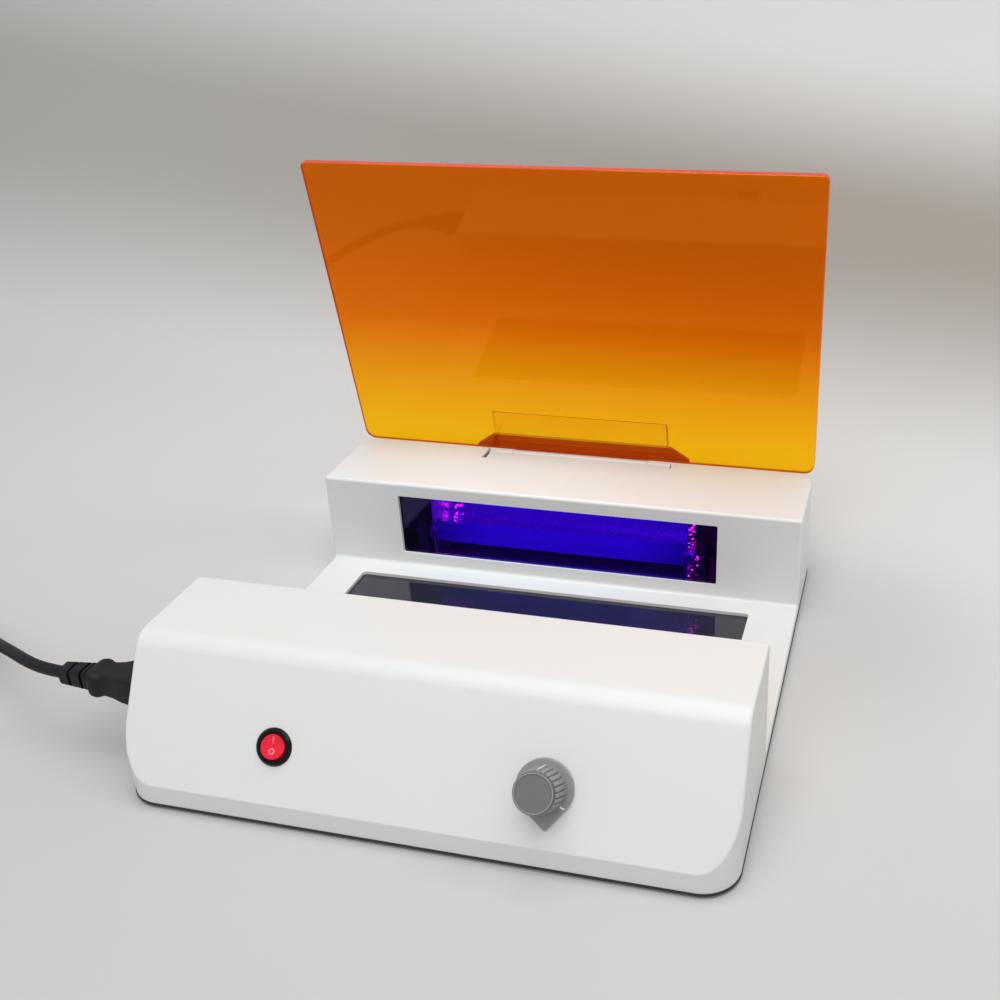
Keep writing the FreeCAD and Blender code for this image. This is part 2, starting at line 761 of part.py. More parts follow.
def make_knob():
    body_top = -wall - seat / 2
    can = Part.makeCylinder(pot_r, pot_depth, Vector(0, 0, body_top - pot_depth))
    bush = Part.makeCylinder(bush_r, nut_t + 2.8 - body_top, Vector(0, 0, body_top))
    lug_z = body_top - pot_depth + 1
    lug = box((-6.5, 6.5), (-pot_r - 7.0, -pot_r + 2), (lug_z, lug_z + 1.6))
    bore = Part.makeCylinder(shaft_r + run, 40, Vector(0, 0, body_top - pot_depth + 3))
    add("pot_body", panel_place(joined([can, bush, lug]).cut(bore), knob_x))
    nut = moved(hexagon_nut(nut_af, nut_t, bush_r + snug), 0, 0, seat / 2)
    add("pot_nut", panel_place(nut, knob_x))
    shaft_top = 17.0
    shaft_foot = body_top - pot_depth + 3.2
    shaft = Part.makeCylinder(shaft_r, shaft_top - shaft_foot, Vector(0, 0, shaft_foot))
    flat = box((1.6, 5), (-5, 5), (shaft_top - 9, shaft_top + 1))
    add("pot_shaft", panel_place(shaft.cut(flat), knob_x))

    skirt_top = skirt_low + skirt_t
    nib = skirt_r * math.sqrt(2)
    square = [Vector(0, -nib, skirt_low), Vector(nib / 2, -nib / 2, skirt_low), Vector(0, 0, skirt_low),
              Vector(-nib / 2, -nib / 2, skirt_low)]
    pointer = slab(loop(square, [1.2, 0, 0, 0]), Vector(0, 0, skirt_t))
    disc = Part.makeCylinder(skirt_r, skirt_t, Vector(0, 0, skirt_low))
    skirt = joined([disc, pointer])
    rim = [edge for edge in skirt.Edges if edge.BoundBox.ZMin > skirt_top - 0.01]
    skirt = skirt.makeChamfer(0.6, rim)
    recess_r = nut_af / math.sqrt(3) + 0.8
    skirt = skirt.cut(Part.makeCylinder(recess_r, 10, Vector(0, 0, -2)))
    skirt = turned(skirt, Vector(0, 0, 0), Vector(0, 0, 1), skirt_turn)
    add("knob_skirt", panel_place(skirt, knob_x))

    low = skirt_top + 0.05
    barrel = Part.makeCone(barrel_foot_r, barrel_top_r, barrel_top - low, Vector(0, 0, low))
    flutes = []
    step = 360.0 / flute_count
    for k in range(flute_count):
        angle = math.radians(90 + k * step)
        if k in (0, 1, flute_count - 1):
            continue
        outward = Vector(math.cos(angle), math.sin(angle), 0)
        foot = outward * (barrel_foot_r + 0.15) + Vector(0, 0, low + 1.0)
        head = outward * (barrel_top_r + 0.15) + Vector(0, 0, barrel_top + 1)
        flutes.append(rod(flute_r, foot, head))
    hollow = Part.makeCylinder(recess_r, 3.2, Vector(0, 0, low - 0.5))
    socket = Part.makeCylinder(shaft_r + snug, shaft_top - low + 0.2, Vector(0, 0, low))
    key = box((1.62, 5), (-5, 5), (shaft_top - 8.8, shaft_top + 0.2))
    drill = socket.cut(key)
    seat_cut = Part.makeCylinder(cap_r - 0.6, 3, Vector(0, 0, barrel_top - 1.0))
    add("knob_barrel", panel_place(barrel.cut(flutes + [hollow, drill, seat_cut]), knob_x))

    cap_low = barrel_top - 1.0 + 0.05
    cap_high = barrel_top + cap_t
    cap = ring_of([(0, cap_low), (cap_r - 0.7, cap_low), (cap_r - 0.7, barrel_top + 0.3),
                   (cap_r, barrel_top + 0.6), (cap_r, cap_high - 0.7), (cap_r - 0.6, cap_high),
                   (cap_r - 1.3, cap_high), (cap_r - 1.6, cap_high - 0.4), (0, cap_high - 0.4)])
    add("knob_cap", panel_place(cap, knob_x))
    line_y = barrel_foot_r - 0.3
    line = box((-0.5, 0.5), (line_y - 0.8, line_y + 0.5), (low + 1.0, barrel_top - 3.0))
    taper = math.degrees(math.atan2(barrel_foot_r - barrel_top_r, barrel_top - low))
    line = turned(line, Vector(0, line_y, low), Vector(1, 0, 0), taper)
    slot = parts["knob_barrel"].cut(panel_place(line, knob_x))
    parts["knob_barrel"] = slot
    add("knob_index", panel_place(line, knob_x))


def make_inlet():
    y, z = trough_y + inlet_y, inlet_z
    face_x = -(body_w / 2 - draft * (z - flange_h / 2 - foot_z)) - 0.02
    flange_outline = end_rectangle(flange_w / 2, flange_h / 2, face_x - flange_t, y, z, 3.0)
    flange = slab(flange_outline, Vector(flange_t, 0, 0))
    body = slab(end_rectangle(inlet_w / 2, inlet_h / 2, face_x, y, z, 1.8), Vector(inlet_depth, 0, 0))
    room_w, room_h = inlet_w / 2 - shroud_t, inlet_h / 2 - shroud_t
    room_outline = end_rectangle(room_w, room_h, face_x - flange_t - 1, y, z, 1.5)
    room = slab(room_outline, Vector(socket_depth + flange_t + 1, 0, 0))
    pin_places = [(-7.0, -1.5), (7.0, -1.5), (0.0, 3.0)]
    pin_half_y, pin_half_z = 1.0, 2.0
    slot_x = (face_x - 20, face_x + inlet_depth + 10)
    slot_y, slot_z = pin_half_y + run, pin_half_z + run
    slots = [box(slot_x, (y + py - slot_y, y + py + slot_y), (z + pz - slot_z, z + pz + slot_z))
             for py, pz in pin_places]
    shape = joined([flange, body]).cut([room] + slots)
    add("inlet_socket", shape)
    pins = [box((face_x + socket_depth - 13.0, face_x + inlet_depth + 7.0),
                (y + py - pin_half_y, y + py + pin_half_y), (z + pz - pin_half_z, z + pz + pin_half_z))
            for py, pz in pin_places]
    add("inlet_pins", Part.makeCompound(pins))

    mouth_x = face_x - flange_t
    nose = slab(end_rectangle(inlet_w / 2 - shroud_t - slip, inlet_h / 2 - shroud_t - slip,
                              mouth_x - 1, y, z, 1.4), Vector(socket_depth + flange_t, 0, 0))
    half_w, half_h = connector_w / 2, connector_h / 2
    keys = [(slip, half_w - 0.6, half_h - 0.6, 2.5), (1.2, half_w, half_h, 3.0), (8.0, half_w, half_h, 3.0),
            (27.0, half_w - 2.6, half_h - 2.2, 4.0), (32.5, half_w - 1.2, half_h - 1.1, 4.0),
            (35.5, half_w - 1.5, half_h - 1.4, 4.0), (connector_l, half_w - 5.0, half_h - 3.4, 4.0)]
    wires = [end_rectangle(hw, hh, mouth_x - back, y, z, radius) for back, hw, hh, radius in eased(keys, 3)]
    grip = Part.makeLoft(wires, True, True)
    connector = nose.fuse(grip).cut(slots)
    add("connector", connector)

    relief_start = mouth_x - connector_l - 0.05
    relief_stop = relief_start - relief_l
    relief = Part.makeLoft([end_rectangle(7.6, 6.9, relief_start, y, z, 3.5),
                            end_rectangle(6.4, 5.8, relief_stop, y, z, 3.5)], True, True)
    span = relief_start - relief_stop
    cuts = []
    for k in range(4):
        x = relief_start - span * (k + 0.7) / 4.4
        side = -1 if k % 2 else 1
        cuts.append(box((x - 1.0, x + 1.0), (y - 10, y + 10), sorted((z + side * 4.6, z + side * 12))))
        cuts.append(box((x - 1.0, x + 1.0), sorted((y - side * 4.9, y - side * 12)), (z - 10, z + 10)))
    add("connector_relief", relief.cut(cuts))
    return relief_stop


def make_lamp():
    y, z = rear_wall_y + trough_rear_lean + lamp_back, lamp_z
    glass_half = lamp_l / 2 - lamp_cap_l
    add("lamp_tube", rod(lamp_r, Vector(-glass_half, y, z), Vector(glass_half, y, z)))
    caps = []
    for side in (-1, 1):
        inner, outer = side * (glass_half + 0.05), side * lamp_l / 2
        cap = rod(lamp_r + 0.2, Vector(inner, y, z), Vector(outer, y, z))
        cap = cap.makeFillet(1.2, [e for e in cap.Edges if abs(e.BoundBox.XMax - e.BoundBox.XMin) < 1e-6
                                   and abs(abs(e.BoundBox.XMax) - lamp_l / 2) < 1e-6][:1])
        pins = [rod(lamp_pin_r, Vector(outer - side, y, z + rise * lamp_pin_gap / 2),
                    Vector(outer + side * lamp_pin_l, y, z + rise * lamp_pin_gap / 2)) for rise in (-1, 1)]
        caps.append(joined([cap] + pins))
    add("lamp_caps", Part.makeCompound(caps))

    floor_z = foot_z + 0.05
    deck = floor_z + bracket_steel
    holders = []
    half_holder = holder_w / 2
    for side in (-1, 1):
        near, far = side * (lamp_l / 2 + 0.3), side * (lamp_l / 2 + 0.3 + holder_t)
        block = box(sorted((near, far)), (y - half_holder, y + half_holder), (deck + 0.05, z + half_holder))
        high = z + half_holder - 0.01
        tops = [e for e in block.Edges if e.BoundBox.ZMin > high and e.BoundBox.XLength > 1]
        block = block.makeFillet(6.0, tops)
        sockets = [rod(lamp_pin_r + run, Vector(near - side, y, z + rise * lamp_pin_gap / 2),
                       Vector(far, y, z + rise * lamp_pin_gap / 2)) for rise in (-1, 1)]
        middle = (near + far) / 2
        foot_bore = rod(screw_r + run, Vector(middle, y, 0), Vector(middle, y, foot_z + 10))
        holders.append(block.cut(sockets + [foot_bore]))
    add("lampholders", Part.makeCompound(holders))

    tray_half = lamp_l / 2 + holder_t + tray_end
    tray = box((-tray_half, tray_half), (y - tray_front, y + tray_back), (floor_z, deck))
    lip_y = (y + tray_back - bracket_steel, y + tray_back)
    lip = box((-tray_half, tray_half), lip_y, (floor_z, deck + tray_lip))
    holes = [rod(screw_r + run, Vector(px, py, 0), Vector(px, py, 20)) for px, py in inner_screw_places()]
    add("lamp_tray", joined([tray, lip]).cut(holes))

    half = reflector_w / 2
    centre_y = y + 4.0
    angle = math.radians(8)
    front_top = Vector(-half, y - 8.0, reflector_z + reflector_r)
    top = Vector(-half, centre_y, reflector_z + reflector_r)
    crest = Vector(-half, centre_y + reflector_r, reflector_z)
    s, c = math.sin(angle), math.cos(angle)
    low_end = Vector(-half, centre_y + reflector_r * s, reflector_z - reflector_r * c)
    outer = [Part.LineSegment(front_top, top).toShape(), Part.Arc(top, crest, low_end).toShape()]
    inner_r = reflector_r - reflector_t
    top_in = Vector(-half, centre_y, reflector_z + inner_r)
    crest_in = Vector(-half, centre_y + inner_r, reflector_z)
    low_in = Vector(-half, centre_y + inner_r * s, reflector_z - inner_r * c)
    front_in = Vector(-half, y - 8.0, reflector_z + inner_r)
    inner = [Part.Arc(low_in, crest_in, top_in).toShape(), Part.LineSegment(top_in, front_in).toShape()]
    bridge = [Part.LineSegment(low_end, low_in).toShape(), Part.LineSegment(front_in, front_top).toShape()]
    sheet = slab(Part.Wire(outer + bridge[:1] + inner + bridge[1:]), Vector(2 * half, 0, 0))
    plates = []
    for side in (-1, 1):
        x = sorted((side * half, side * (half - reflector_t)))
        plate = box(x, (y - 9.0, centre_y + reflector_r + 3), (deck + 0.05, reflector_z + reflector_r))
        plates.append(plate.cut(rod(lamp_r + 1.2, Vector(x[0] - 1, y, z), Vector(x[1] + 1, y, z))))
    add("reflector", joined([sheet] + plates))
    screws = [make_screw(px, py, foot_h, base_screw_l) for px, py in inner_screw_places()[:2]]
    add("lampholder_screws", Part.makeCompound(screws))


def inner_screw_places():
    """Screws that come up through the base plate into the lampholders and the board's standoffs."""
    y = rear_wall_y + trough_rear_lean + lamp_back
    x = lamp_l / 2 + 0.3 + holder_t / 2
    places = [(-x, y), (x, y)]
    return places + board_screw_places()


def board_screw_places():
    y = trough_y + board_y
    reach_x, reach_y = board_w / 2 - board_screw_inset, board_d / 2 - board_screw_inset
    return [(board_x + sx * reach_x, y + sy * reach_y) for sx in (-1, 1) for sy in (-1, 1)]


def make_board():
    y = trough_y + board_y
    low = foot_z + standoff_h
    top = low + board_t
    span_x = (board_x - board_w / 2, board_x + board_w / 2)
    outline = rectangle(span_x, (y - board_d / 2, y + board_d / 2), low, board_corner_r)
    board = slab(outline, Vector(0, 0, board_t))
    holes = []
    for px, py in board_screw_places():
        holes.append(rod(screw_r + run, Vector(px, py, low - 1), Vector(px, py, top + 1)))
    add("driver_board", board.cut(holes))
    posts, screws = [], []
    for px, py in board_screw_places():
        post = Part.makeCylinder(standoff_r, standoff_h - 2 * face_gap, Vector(px, py, foot_z + face_gap))
        posts.append(post.cut(rod(screw_r + run, Vector(px, py, 0), Vector(px, py, low + 1))))
        shank = make_screw(px, py, foot_h, base_t + standoff_h + board_t + 3.0)
        screws.append(shank)
    add("board_standoffs", Part.makeCompound(posts))
    add("board_screws", Part.makeCompound(screws))
    nut = hexagon_nut(screw_nut_af, screw_nut_t, screw_r + snug)
    nuts = [moved(nut, px, py, top + face_gap) for px, py in board_screw_places()]
    add("board_nuts", Part.makeCompound(nuts))
    make_components(y, top + face_gap)


def make_components(y, seat_z):
    """The ballast's larger components, standing on the board."""
    middle_x, middle_y = board_x + choke_x, y + choke_y
    core_x = (middle_x - choke_w / 2, middle_x + choke_w / 2)
    core_y = (middle_y - choke_d / 2, middle_y + choke_d / 2)
    lid_z = seat_z + choke_foot + winding_h
    core = box(core_x, core_y, (seat_z, seat_z + choke_foot))
    winding = Part.makeCylinder(winding_r, winding_h, Vector(middle_x, middle_y, seat_z + choke_foot))
    lid = box(core_x, core_y, (lid_z, lid_z + choke_lid))
    add("driver_choke", joined([core, winding, lid]))
    cans = []
    for k, (radius, height) in enumerate(can_sizes):
        x = board_x + can_x + can_pitch * k
        can = Part.makeCylinder(radius, height, Vector(x, y + can_y, seat_z))
        rim = [e for e in can.Edges if e.BoundBox.ZMin > seat_z + height - 0.01]
        cans.append(can.makeFillet(0.8, rim[:1]))
    add("driver_capacitors", Part.makeCompound(cans))
    chips = []
    for k in range(3):
        x = board_x + chip_x + chip_pitch * k
        chips.append(box((x, x + chip_w), (y + chip_y, y + chip_y + chip_t), (seat_z, seat_z + chip_h)))
    add("driver_transistors", Part.makeCompound(chips))
    left, near = board_x + sink_x, y + sink_y
    fins = [box((left, left + sink_w), (near, near + sink_t), (seat_z, seat_z + sink_h))]
    for k in range(fin_count):
        x = left + fin_pitch * k
        fin_y = near + sink_t - screw_play * 2
        fins.append(box((x, x + fin_t), (fin_y, fin_y + fin_l), (seat_z, seat_z + sink_h)))
    add("driver_heat_sink", joined(fins))
    blocks = []
    front = y + terminal_block_y
    for side in (-1, 1):
        x = board_x + side * terminal_block_x
        span_x = (x - terminal_block_w / 2, x + terminal_block_w / 2)
        block = box(span_x, (front, front + terminal_block_d), (seat_z, seat_z + terminal_block_h))
        holes = []
        for k in range(4):
            hole_y = front + 3.5 + terminal_pitch * k
            holes.append(rod(terminal_hole_r, Vector(x, hole_y, seat_z + 3), Vector(x, hole_y, seat_z + 12)))
        blocks.append(block.cut(holes))
    add("terminal_blocks", Part.makeCompound(blocks))


def wire_tube(points, radius, bend):
    """A round wire through points, with the same bend radius at each of its corners."""
    edges = corner_edges(points, [bend] * len(points), closed=False)
    path = Part.Wire(edges)
    along = (points[1] - points[0]).normalize()
    start = Part.Wire(Part.makeCircle(radius, points[0], along))
    return path.makePipeShell([start], True, False)


def make_wiring():
    """Insulated wires from the inlet to the switch and the board, and from the board to the lamp."""
    y = trough_y + board_y
    board_top = foot_z + standoff_h + board_t
    end_x = -body_w / 2 + inlet_depth + mains_wire_end
    block_reach = terminal_block_x + terminal_block_w / 2 + block_gap
    block_z = board_top + wire_rise
    mains = []
    for k, (dy, dz) in enumerate(((-7.0, -1.5), (7.0, -1.5))):
        start = Vector(end_x, trough_y + inlet_y + dy, inlet_z + dz)
        drop = Vector(end_x + mains_wire_out, trough_y + inlet_y + dy, inlet_z + dz)
        row_y = y + mains_wire_y + mains_wire_pitch * k
        level = Vector(end_x + mains_wire_turn, row_y, mains_wire_z)
        stop = Vector(board_x - block_reach, row_y, block_z)
        mains.append(wire_tube([start, drop, level, stop], mains_wire_r, wire_bend))
    add("mains_wires", Part.makeCompound(mains))
    lamp_wires = []
    lamp_y = rear_wall_y + trough_rear_lean + lamp_back
    wire_z = foot_z + wire_floor
    for side in (-1, 1):
        lane = side * (bed_window_w / 2 + glass_lap + wire_lane)
        start = Vector(board_x + side * block_reach, y + 1.0, block_z)
        step_out = Vector(board_x + side * 66.0, y + 1.0, block_z)
        floor_in = Vector(board_x + side * 84.0, y + 12.0, wire_z)
        floor_out = Vector(lane, y + 26.0, wire_z)
        rear = Vector(lane, lamp_y - 6.0, wire_z)
        stop = Vector(side * (lamp_l / 2 + holder_t + 0.6), lamp_y, wire_z + 4.0)
        route = [start, step_out, floor_in, floor_out, rear, stop]
        lamp_wires.append(wire_tube(route, lamp_wire_r, wire_bend))
    add("lamp_wires", Part.makeCompound(lamp_wires))


def cord_points(exit_x):
    """The lead's route from the connector to its coil."""
    return [Vector(exit_x, trough_y + inlet_y, inlet_z), Vector(-264.0, -135.3, 50.0),
            Vector(-283.5, -128.0, 48.6), Vector(-303.0, -116.8, 44.6), Vector(-325.0, -103.8, 38.6),
            Vector(-347.0, -88.8, 31.1), Vector(-368.0, -72.8, 22.6), Vector(-389.0, -57.3, 13.2)]


def cord_tube(points):
    """Straight runs joined by tangent arcs, each as large as its two runs allow."""
    radii = [0]
    for i in range(1, len(points) - 1):
        back = points[i] - points[i - 1]
        ahead = points[i + 1] - points[i]
        turn = back.getAngle(ahead)
        radii.append(0.45 * min(back.Length, ahead.Length) / math.tan(turn / 2))
    radii.append(0)
    print("bend radii", [round(radius) for radius in radii[1:-1]])
    path = Part.Wire(corner_edges(points, radii, closed=False))
    start = Part.Wire(Part.makeCircle(cord_r, points[0], points[1] - points[0]))
    tube = path.makePipeShell([start], True, False)
    print("cord length", round(path.Length, 1), "volume ratio",
          round(tube.Volume / (path.Length * math.pi * cord_r ** 2), 4))
    return tube


def make_cord(relief_stop):
    exit_x = relief_stop - 0.05
    route = cord_points(exit_x)
    add("mains_cord", cord_tube(route))
    low, high = coil_mid_r - coil_w / 2, coil_mid_r + coil_w / 2
    bottom = tie_t + tie_gap + 0.02
    top = bottom + coil_h
    corners = [Vector(low, 0, bottom), Vector(high, 0, bottom), Vector(high, 0, top), Vector(low, 0, top)]
    section = Part.Face(loop(corners, [3.9] * 4))
    ring = section.revolve(Vector(0, 0, 0), Vector(0, 0, 1), 360)
    add("mains_cord_coil", moved(ring, coil_x, coil_y, 0))

    tail_x = coil_x - coil_mid_r
    tail = [Vector(tail_x, coil_y, 5.0), Vector(tail_x - 1.0, coil_y - 20.0, 5.0),
            Vector(tail_x + 1.0, coil_y - 40.0, 6.2), Vector(tail_x + 1.0, coil_y - 58.0, 8.8)]
    add("mains_cord_tail", cord_tube(tail))
    strap = []
    for gap, reach in ((tie_t + tie_gap, 4.0), (tie_gap, 5.0)):
        x, z = (coil_x + low - gap, coil_x + high + gap), (bottom - gap, top + gap)
        strap.append(slab(upright_rectangle(x, z, coil_y + reach, 3.9 + gap), Vector(0, -2 * reach, 0)))
    add("cord_tie", strap[0].cut(strap[1]))

    end = tail[-1]
    along = (tail[-1] - tail[-2]).normalize()
    relief = Part.makeCone(cord_r + 1.0, cord_r + 3.2, 16.0, Vector(0, 0, 0), Vector(0, 0, 1))
    grooves = []
    for k in range(3):
        inner, outer, foot = cord_r + 0.6, cord_r + 8, 3.0 + 3.4 * k
        grooves.append(ring_of([(inner, foot), (outer, foot), (outer, foot + 1.6), (inner, foot + 1.6)]))
    relief = relief.cut(grooves)
    turn = FreeCAD.Rotation(Vector(0, 0, 1), Vector(0, -1, 0))
    relief.Placement = FreeCAD.Placement(end + Vector(0, -0.05, 0), turn)
    add("plug_relief", relief)
    start_y = end.y - 16.1
    z = end.z
    keys = [(0, 7.0, 7.0, 4.0), (6.0, 8.0, 7.6, 4.0), (18.0, 13.5, 8.4, 5.0), (33.0, 12.6, 8.4, 5.0),
            (36.0, 12.0, 8.0, 5.0)]
    wires = []
    for back, half_w, half_h, radius in eased(keys, 3):
        span_x, span_z = (end.x - half_w, end.x + half_w), (z - half_h, z + half_h)
        wires.append(upright_rectangle(span_x, span_z, start_y - back, radius))
    add("mains_plug", Part.makeLoft(wires, True, True))
    face_y = start_y - 36.0
    blades = []
    for x, tilt in ((-7.9, 30), (7.9, -30)):
        blade = box((-0.8, 0.8), (face_y - 17.0, face_y - 0.02), (-3.2, 3.2))
        blade = turned(blade, Vector(0, 0, 0), Vector(0, 1, 0), tilt)
        blades.append(moved(blade, end.x + x, 0, z + 3.0))
    blades.append(moved(box((-0.8, 0.8), (face_y - 20.0, face_y - 0.02), (-3.2, 3.2)), end.x, 0, z - 3.4))
    add("plug_blades", Part.makeCompound(blades))


def report():
    """Print what the record states: the box without the lead, and the places of the moving pieces' axes."""
    lead = {"connector", "connector_relief", "mains_cord", "mains_cord_coil", "mains_cord_tail", "cord_tie",
            "plug_relief", "mains_plug", "plug_blades"}
    whole = Part.makeCompound([shape for name, shape in parts.items() if name not in lead])
    limits = whole.BoundBox
    print("box without the lead", [round(v, 2) for v in (limits.XMin, limits.YMin, limits.ZMin,
                                                         limits.XMax, limits.YMax, limits.ZMax)])
    print("middle", round(limits.Center.x, 2), round(limits.Center.y, 2))
    print("hinge axis y z", round(hinge_y, 3), round(hinge_z, 3))
    pivot = panel_place(Part.Vertex(Vector(0, 0, 0.4)), switch_x)
    centre = panel_place(Part.Vertex(Vector(0, 0, 0)), knob_x)
    print("rocker pivot", [round(v, 3) for v in pivot.Point])
    print("knob axis point", [round(v, 3) for v in centre.Point])
    solids = sum(len(shape.Solids) for shape in parts.values())
    print(len(parts), "nodes", solids, "solids")


def main():
    make_shell()
    make_base()
    make_windows()
    make_cover()
    make_hinge_bracket()
    make_switch()
    make_knob()
    relief_stop = make_inlet()
    make_lamp()
    make_board()
    make_wiring()
    make_cord(relief_stop)
    report()
    os.makedirs("parts", exist_ok=True)
    for name, shape in parts.items():
        if not shape.isValid():
            print("not valid:", name)
        shape.exportStep("parts/" + name + ".step")


main()
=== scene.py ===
"""Blue light transilluminator: the finishes, fine pieces, mains lead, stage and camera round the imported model."""
import json
import math
import random

import bmesh
import bpy
from bpy.props import FloatProperty, FloatVectorProperty, IntProperty, PointerProperty
from bpy.types import Operator, Panel, PropertyGroup
from mathutils import Matrix, Vector
from mathutils.bvhtree import BVHTree


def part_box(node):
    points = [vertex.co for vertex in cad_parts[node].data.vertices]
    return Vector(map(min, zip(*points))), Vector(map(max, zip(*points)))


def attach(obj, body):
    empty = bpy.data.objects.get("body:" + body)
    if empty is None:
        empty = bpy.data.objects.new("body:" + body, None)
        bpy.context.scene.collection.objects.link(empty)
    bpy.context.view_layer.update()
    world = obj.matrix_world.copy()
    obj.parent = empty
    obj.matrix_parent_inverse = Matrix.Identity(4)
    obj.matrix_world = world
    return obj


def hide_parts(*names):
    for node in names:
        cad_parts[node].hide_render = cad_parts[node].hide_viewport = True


bl_info = {
    "name": "Bench Transilluminator",
    "version": (1, 0, 0),
    "blender": (4, 5, 0),
    "location": "View3D > Sidebar > Transilluminator",
    "description": "Dresses the packed frame of a blue light transilluminator in its real finishes",
    "category": "Object",
}

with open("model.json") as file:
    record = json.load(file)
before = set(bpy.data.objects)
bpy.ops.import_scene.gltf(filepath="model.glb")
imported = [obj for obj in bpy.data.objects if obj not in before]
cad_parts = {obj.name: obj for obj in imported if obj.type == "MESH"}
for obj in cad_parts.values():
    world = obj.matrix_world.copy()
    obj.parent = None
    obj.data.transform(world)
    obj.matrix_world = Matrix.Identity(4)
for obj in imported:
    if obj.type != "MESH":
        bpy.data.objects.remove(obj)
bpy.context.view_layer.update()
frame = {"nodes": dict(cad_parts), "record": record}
BODY_OF = {node: body for body, nodes in frame["record"]["behaviour"]["bodies"].items() for node in nodes}
SLOT_OF = {part["node"]: part["material_slot"] for part in frame["record"]["subparts"]}

MM = 0.001
WELD = 2e-6
FINISH_ENDING = "_finish"
SMOOTH_ANGLE = math.radians(28)
BLACK = (0.0, 0.0, 0.0)
DUST = (0.5, 0.49, 0.47)
SHELL_DUST = (0.45, 0.44, 0.42)
PANEL_OUT = Vector((0.0, -0.8443279, 0.5358268))
PANEL_UP = Vector((0.0, 0.5358268, 0.8443279))
KNOB_FOOT = Vector((76.8, -169.478, 44.793)) * MM
SWITCH_FOOT = Vector((-86.1, -169.478, 44.793)) * MM
SKIRT_MARK = ((0.0096, -0.0076), (0.0107, -0.0087), (0.0119, -0.0093), (0.0130, -0.0092))
CORD_ROUTE = (
    (-246.7, -137.3, 51.0), (-264.0, -135.3, 50.0), (-283.5, -128.0, 48.6), (-303.0, -116.8, 44.6),
    (-325.0, -103.8, 38.6), (-347.0, -88.8, 31.1), (-368.0, -72.8, 22.6),
)
CORD_TAIL = ((-480.0, -104.0, 5.3), (-474.5, -121.0, 5.5), (-471.0, -137.0, 6.9), (-471.0, -150.9, 8.8))
SWEEP = {"front": -4.0, "start": 0.45, "radius": 0.55, "angle": math.radians(78), "steps": 12, "back": 0.6,
         "rise": 2.8, "half_width": 3.5}
# Painted shadow on the floor beside the instrument: its middle, the radii over which it fades, and how much it
# darkens.
PAINTED_BODY_SHADOW = {"middle": (0.20, 0.10, 0.0), "inner": 0.02, "outer": 0.19, "amount": 0.16}
LIGHTS = (
    ("key", "AREA", (0.10, -0.20, 1.6), (0.0, 0.0, 0.0), (0.965, 0.985, 0.975), {"size": 1.2}),
    ("fill", "AREA", (0.15, -1.35, 1.6), (0.0, -0.1, 0.05), (1.0, 1.0, 1.0), {"size": 1.2}),
    ("back", "AREA", (1.3, 0.2, 1.5), (1.0, 1.3, 0.5), (1.0, 0.98, 0.95), {"size": 0.9}),
    ("top", "SPOT", (-0.06, 0.02, 0.95), (-0.06, 0.135, 0.085), (0.66, 0.89, 1.0),
     {"spot_size": math.radians(25), "spot_blend": 1.0, "shadow_soft_size": 0.08}),
)
ROOM_TINT = (0.93, 0.96, 1.0, 1.0)


def number(name, description, default, **more):
    """A plain number property."""
    return FloatProperty(name=name, description=description, default=default, **more)


def length(name, description, default, **more):
    """A size property shown in Blender's length units."""
    return number(name, description, default, unit="LENGTH", precision=5, **more)


def colour(name, wearer, default):
    """A colour property with the colour picker."""
    return FloatVectorProperty(name=name, description="Colour of the " + wearer, default=default, size=3,
                               subtype="COLOR", min=0.0, max=1.0)


class ShellValues(PropertyGroup):
    """The white thermoformed housing."""
    white: colour("White", "moulded shell", (0.715, 0.717, 0.71))
    pebble: number("Pebble size", "Grains of the fine texture in a metre", 1100.0)
    pebble_depth: length("Pebble depth", "Height of the fine texture", 0.00005)
    foot: colour("Base", "dark base plate", (0.022, 0.022, 0.024))
    base_rim: length("Base rim", "How far the base plate's edge stands out round the foot", 0.0012)


class WindowValues(PropertyGroup):
    """The blue window, its lamp and the dark glass of the bed."""
    filter_tint: colour("Filter tint", "light that the lamp's filter passes", (0.20, 0.02, 0.72))
    glow: colour("Lamp colour", "lit tube", (0.10, 0.012, 0.74))
    glow_power: number("Lamp power", "Strength of the lit tube", 0.72, min=0.0)
    # The sparks are painted glints: small glowing blobs.
    spark: colour("Spark colour", "glints at the reflector's ends", (1.0, 0.05, 0.38))
    spark_count: IntProperty(name="Sparks", description="Glints at each end of the reflector", default=84)
    spark_radius: length("Spark radius", "Radius of the largest glint possible", 0.0010)
    spark_reach: length("Spark reach", "How far the glints reach in from the reflector's left end", 0.007)
    glass: colour("Bed glass", "dark cutting glass", (0.013, 0.014, 0.022))


class CoverValues(PropertyGroup):
    """The orange viewing cover."""
    # The foot and top tints are painted light: the change between them stands in for brighter light through the
    # sheet's lower part.
    foot_tint: colour("Foot tint", "cover's hinged edge", (1.0, 0.62, 0.003))
    top_tint: colour("Top tint", "cover's free edge", (0.86, 0.20, 0.003))
    # Painted glow: the amber sheet's emission stands in for light gathered inside it.
    inner_glow: colour("Inner glow", "light inside the amber sheet", (0.075, 0.008, 0.0))
    edge_tint: colour("Edge tint", "cover's cut edges", (0.50, 0.032, 0.022))
    leaf_tint: colour("Leaf tint", "hinge leaf behind the cover", (0.30, 0.035, 0.01))


